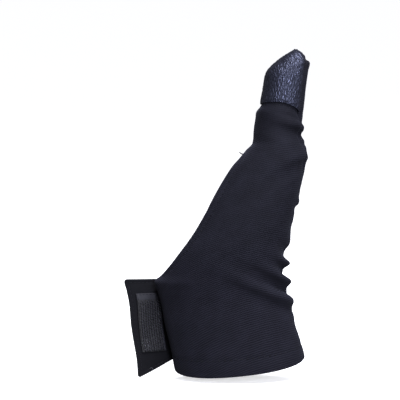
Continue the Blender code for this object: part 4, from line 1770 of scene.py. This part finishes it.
@dataclass
class Sewn:
    """Every visible line of stitches and the seam allowances inside the glove."""

    form: GloveForm
    finishes: Finishes
    palm: PalmPanel
    back: BackPanel
    tab: ClosureTab
    patch: HookPatch
    wrist_row: StitchRow = field(default_factory=StitchRow)
    opening_row: StitchRow = field(default_factory=lambda: StitchRow(0.0012, 0.0027))
    tab_row: StitchRow = field(default_factory=lambda: StitchRow(0.0019, 0.0025, 0.00036))
    tape_row: StitchRow = field(default_factory=lambda: StitchRow(0.0017, 0.0022, 0.00034))
    row_foot: float = 0.002  # where the opening's row starts over the tab
    row_top: float = 0.004  # how far below the thumb it stops
    seam_row: float = 0.0016  # how far from the tab's seam its row runs
    tape_inset: float = 0.0007
    cord_radius: float = 0.00045
    allowance: float = 0.0028  # half the width of an allowance
    allowance_wall: float = 0.0007
    allowance_gap: float = 0.00015
    allowance_taper: float = 0.0016  # how much narrower each half is at the tip
    taper_run: float = 0.009
    tip_inset: float = 0.0018
    web_drop: float = 0.0028  # how far below the thumb the web's thread end comes out
    web_inset: float = 0.0008
    web_radius: float = 0.00038
    end_radius: float = 0.00014
    lint_radius: float = 0.00007
    lint_count: int = 14

    def build_hem_stitches(self) -> bpy.types.Object:
        """Sews the hems of the wrist and of the palm opening.

        Returns:
            The piece.
        """
        mesh = bmesh.new()
        form = self.form
        foot, top = form.tab_top + self.row_foot, form.hand_height - self.row_top
        for panel in (self.palm, self.back):
            sewing, grid = panel.sewing, panel.grid
            grids = [grid.level, grid.girth, *np.moveaxis(grid.outer, -1, 0)]
            level, girth, *xyz = contour(grids, grid.row, sewing.wrist_hem, 0)
            kept = panel.shows_wrist(level, girth)
            normals = form.outward(level, girth)
            self.wrist_row.sew(mesh, np.stack(xyz, -1)[kept], normals[kept])
            level, girth, *xyz = contour(grids, grid.from_end, sewing.opening_hem, 1)
            kept = (level > foot) & (level < top)
            normals = form.outward(level, girth)
            self.opening_row.sew(mesh, np.stack(xyz, -1)[kept], normals[kept])
        return piece_from("hem_stitches", mesh, self.finishes.thread)

    def build_tab_stitches(self) -> bpy.types.Object:
        """Sews the tab's edges, the hook tape and the tab's seam, which an overlock cord fills.

        Returns:
            The piece.
        """
        mesh = bmesh.new()
        form, tab, patch = self.form, self.tab, self.patch
        inset = tab.stitch_inset
        rise = np.linspace(0.04, 0.96, 60)
        share = 1 - inset / tab.length
        foot = tab.root_foot + (tab.free_foot - tab.root_foot) * share
        height = foot + (form.tab_top - foot) * rise
        self._tab_row(mesh, height, tab.run_length(rise) * share)
        share = np.linspace(0.04, 0.92, 50)
        foot = tab.root_foot + (tab.free_foot - tab.root_foot) * share
        for height, run in (
            (foot + inset, tab.run_length(0.03) * share),
            (form.tab_top + tab.slant * share - inset, tab.run_length(0.97) * share),
        ):
            self._tab_row(mesh, height, run)
        seam = np.linspace(tab.root_foot + 0.001, form.tab_top - 0.001, 60)
        self._tab_row(mesh, seam, np.full_like(seam, self.seam_row))
        closed = np.linspace(tab.root_foot + 0.0005, form.tab_top - 0.0005, 60)
        between = np.full_like(closed, -form.seam_gap / 2)
        depth = tab.sag_at(closed, between) + form.tab_wall / 2
        radii = np.full_like(closed, self.cord_radius)
        tube(mesh, tab.point(closed, between, depth), radii, 6)
        edge = self.tape_inset
        heights = np.linspace(patch.foot + edge, patch.top - edge, 60)
        across = np.linspace(edge, patch.width - edge, 30) / patch.width
        for height, share in (
            (heights, np.full_like(heights, across[0])),
            (heights, np.full_like(heights, across[-1])),
            (np.full_like(across, heights[0]), across),
            (np.full_like(across, heights[-1]), across),
        ):
            line = patch.point(height, share, patch.wall)
            normal = patch.point(height, share, patch.wall + MM) - line
            self.tape_row.sew(mesh, line, normal / MM)
        return piece_from("tab_stitches", mesh, self.finishes.thread)

    def _tab_row(self, mesh: bmesh.types.BMesh, height: np.ndarray, run: np.ndarray) -> None:
        """Sews one row through the tab, so that it shows on both of its faces."""
        tab, wall = self.tab, self.form.tab_wall
        sag = tab.sag_at(height, run)
        for depth, side in ((tab.pinch, -1), (wall - tab.pinch, 1)):
            line = tab.point(height, run, sag + depth)
            normal = tab.point(height, run, sag + depth + side * MM) - line
            self.tab_row.sew(mesh, line, normal / MM)

    def build_allowances(self) -> list[bpy.types.Object]:
        """Builds the turned-in seam allowances along the thumb, inside the glove.

        Returns:
            The pieces.
        """
        form = self.form
        tip = form.tip_height - self.tip_inset
        outer = np.linspace(0.0002, tip, 190)
        inner = np.linspace(form.hand_height + 0.003, tip, 70)
        return [
            self._allowance("outer_seam_allowance", outer, form.outer_seam(outer)),
            self._allowance("inner_seam_allowance", inner, form.palm_end(inner)),
        ]

    def _allowance(self, name: str, row: np.ndarray, seam: np.ndarray) -> bpy.types.Object:
        """Builds one strip of allowance.

        Args:
            name: Name of the piece.
            row: Heights of its rows, before they follow the wrist opening.
            seam: Girth of the seam at each.

        Returns:
            The piece.
        """
        form, roll = self.form, self.palm.sewing.roll
        from_top = form.tip_height - row
        taper = self.allowance_taper * ramp(1 - from_top / self.taper_run)
        half_width = self.allowance - taper
        off = half_width[:, None] * np.linspace(-1, 1, 13)
        row, from_top = row[:, None], from_top[:, None]
        girth = seam[:, None] + off
        height = row + form.rim_shift(row, girth)
        wall = max(form.cloth_wall, form.leather_wall)
        under = -wall - roll(np.abs(off), from_top) - self.allowance_gap
        edge = half_width[:, None] - np.abs(off)
        outer, inner = form.faces(height, girth, under, self.allowance_wall, edge)
        lay = np.stack([girth / MM, height / MM], axis=-1)
        wear = np.full(off.shape, 0.3)
        made = shell(name, outer, inner, {LAY: lay, WEAR_AND_HIGHLIGHT: wear}, self.finishes.knit)
        return made

    def build_web_end(self) -> bpy.types.Object:
        """Builds the thread end that sticks out where the opening meets the thumb.

        Returns:
            The piece.
        """
        mesh = bmesh.new()
        web = np.array([self.form.hand_height - self.web_drop])
        girth = self.form.palm_end(web) - self.web_inset
        start = self.form.place(web, girth, np.array([0.0]))[0]
        bend, end = (-0.0008, -0.0006, 0.0001), (-0.0021, -0.0008, 0.0012)
        self._strand(mesh, start, bend, end, self.web_radius)
        return piece_from("web_thread_end", mesh, self.finishes.thread)

    def build_loose_ends(self) -> bpy.types.Object:
        """Builds the thread end and the lint that have worked loose on the tab.

        Returns:
            The piece.
        """
        mesh = bmesh.new()
        patch = self.patch
        foot = self.tab.point(np.array([-0.0030]), np.array([0.0262]), np.array([0.0016]))[0]
        bend, end = (0.0010, -0.0012, 0.0008), (0.0020, -0.0014, -0.0012)
        self._strand(mesh, foot, bend, end, self.end_radius)
        for number in range(self.lint_count):
            wobble = [noise.noise(Vector((number * 1.7, k * 4.3, 9.0))) for k in range(6)]
            share = 0.78 + 0.34 * wobble[0]
            height = patch.foot + 0.0042 + 0.0075 * wobble[1]
            start = patch.point(np.array([height]), np.array([share]), np.array([0.0016]))[0]
            bend = (0.0022 * wobble[2], -0.0010, 0.0016 * wobble[3])
            end = (0.0034 * wobble[4], -0.0006, 0.0038 * wobble[5])
            self._strand(mesh, start, bend, end, self.lint_radius)
        return piece_from("loose_thread_ends", mesh, self.finishes.lint)

    @staticmethod
    def _strand(
        mesh: bmesh.types.BMesh,
        start: np.ndarray,
        bend: Sequence[float],
        end: Sequence[float],
        radius: float,
    ) -> None:
        """Adds a bent strand from a start by way of a bend to an end, both measured from it."""
        t = np.linspace(0, 1, 9)[:, None]
        path = start + 2 * t * (1 - t) * np.array(bend) * 1.6 + t * t * np.array(end)
        radii = radius * np.linspace(1.0, 0.6, 9)
        tube(mesh, path, radii, 5)


# The studio


@dataclass
class Studio:
    """White sweep, soft lights and the camera of the product shot."""

    finishes: Finishes
    floor: float = -0.0086
    radius: float = 2.0
    cove: float = 0.7
    wall_top: float = 2.4
    camera_place: tuple[float, float, float] = (-0.02262, -0.55, 0.09422)
    lens: float = 85.34
    aim: tuple[float, float, float] = (0.0, 0.0, 0.09)  # the point that the lights face
    sky_strength: float = 0.18

    def build_sweep(self) -> bpy.types.Object:
        """Builds the floor and backdrop as one curved sheet that goes all the way round.

        Only the camera sees it, so the glove is lit by the softboxes and not by its glow.

        Returns:
            The sheet.
        """
        turn = np.linspace(0, math.pi / 2, 25)
        out = [0.0, *(self.radius - self.cove + self.cove * np.sin(turn)), self.radius]
        up = [0.0, *(self.cove * (1 - np.cos(turn))), self.wall_top]
        mesh = bmesh.new()
        profile = [mesh.verts.new((x, 0.0, self.floor + z)) for x, z in zip(out, up)]
        edges = [mesh.edges.new(pair) for pair in zip(profile, profile[1:])]
        bmesh.ops.spin(
            mesh, geom=profile + edges, axis=(0, 0, 1), cent=(0, 0, 0), angle=2 * math.pi, steps=96
        )
        bmesh.ops.remove_doubles(mesh, verts=mesh.verts, dist=1e-5)
        bmesh.ops.recalc_face_normals(mesh, faces=mesh.faces)
        sweep = object_from("paper_sweep", mesh, self.finishes.paper)
        sweep.visible_diffuse = sweep.visible_glossy = sweep.visible_shadow = False
        return sweep

    def light(
        self,
        name: str,
        place: Sequence[float],
        size: tuple[float, float],
        watts: float,
        tint: str,
    ) -> bpy.types.Object:
        """Hangs a softbox.

        Args:
            name: Name of the light.
            place: Where it hangs.
            size: Its width and height.
            watts: Its power.
            tint: Its colour.

        Returns:
            The light.
        """
        lamp = bpy.data.lights.new(name, "AREA")
        lamp.shape = "RECTANGLE"
        lamp.size, lamp.size_y = size
        lamp.energy = watts
        lamp.color = linear(tint)[:3]
        made = bpy.data.objects.new(name, lamp)
        made.location = place
        facing = Vector(self.aim) - Vector(place)
        made.rotation_euler = facing.to_track_quat("-Z", "Y").to_euler()
        bpy.context.scene.collection.objects.link(made)
        return made

    def build(self) -> None:
        """Builds the sweep, the lights, the sky and the camera."""
        self.build_sweep()
        self.light("key_softbox", (0.24, -1.15, 0.40), (0.30, 0.50), 11.0, "#eef1ff")
        self.light("top_softbox", (0.30, -0.50, 1.05), (0.7, 0.45), 12.5, "#f6f7ff")
        fill = self.light("rear_fill", (-0.05, 1.00, 1.15), (1.0, 0.5), 26.0, "#f6f7ff")
        fill.visible_glossy = False  # it lights the back and draws no glint round the leather
        world = bpy.data.worlds.new("white_studio")
        world.use_nodes = True
        sky = world.node_tree.nodes["Background"]
        sky.inputs["Color"].default_value = linear("#ffffff")
        sky.inputs["Strength"].default_value = self.sky_strength
        bpy.context.scene.world = world
        bpy.context.scene.view_settings.view_transform = "Standard"
        lens = bpy.data.cameras.new("product_camera")
        lens.sensor_width = 36.0
        lens.lens = self.lens
        lens.clip_start, lens.clip_end = 0.01, 20.0
        camera = bpy.data.objects.new("product_camera", lens)
        camera.location = self.camera_place
        camera.rotation_euler = (math.pi / 2, 0.0, 0.0)
        bpy.context.scene.collection.objects.link(camera)
        bpy.context.scene.camera = camera


# The whole glove


def report(piece: bpy.types.Object) -> None:
    """Logs a piece's name and its number of triangles."""
    count = sum(len(p.vertices) - 2 for p in piece.data.polygons)
    LOG.info("%s: %d triangles", piece.name, count)


def main() -> None:
    """Builds the glove piece by piece, then the studio round it."""
    logging.basicConfig(level=logging.INFO, format="%(message)s")
    finishes = Finishes()
    form = GloveForm()
    palm, back = PalmPanel(form, finishes), BackPanel(form, finishes)
    cap, tab = ThumbCap(form, finishes), ClosureTab(form, finishes)
    patch = HookPatch(form, finishes, tab)
    cloth = {"palm": palm.build(), "back": back.build(), "cap": cap.build(), "tab": tab.build()}
    tape, hooks = patch.build(), patch.build_hooks()
    sewn = Sewn(form, finishes, palm, back, tab, patch)
    hems, tab_rows = sewn.build_hem_stitches(), sewn.build_tab_stitches()
    extras = [*sewn.build_allowances(), sewn.build_web_end(), sewn.build_loose_ends()]
    for piece in [*cloth.values(), tape, hooks, hems, tab_rows, *extras]:
        report(piece)
    Studio(finishes).build()


if __name__ == "__main__":
    main()
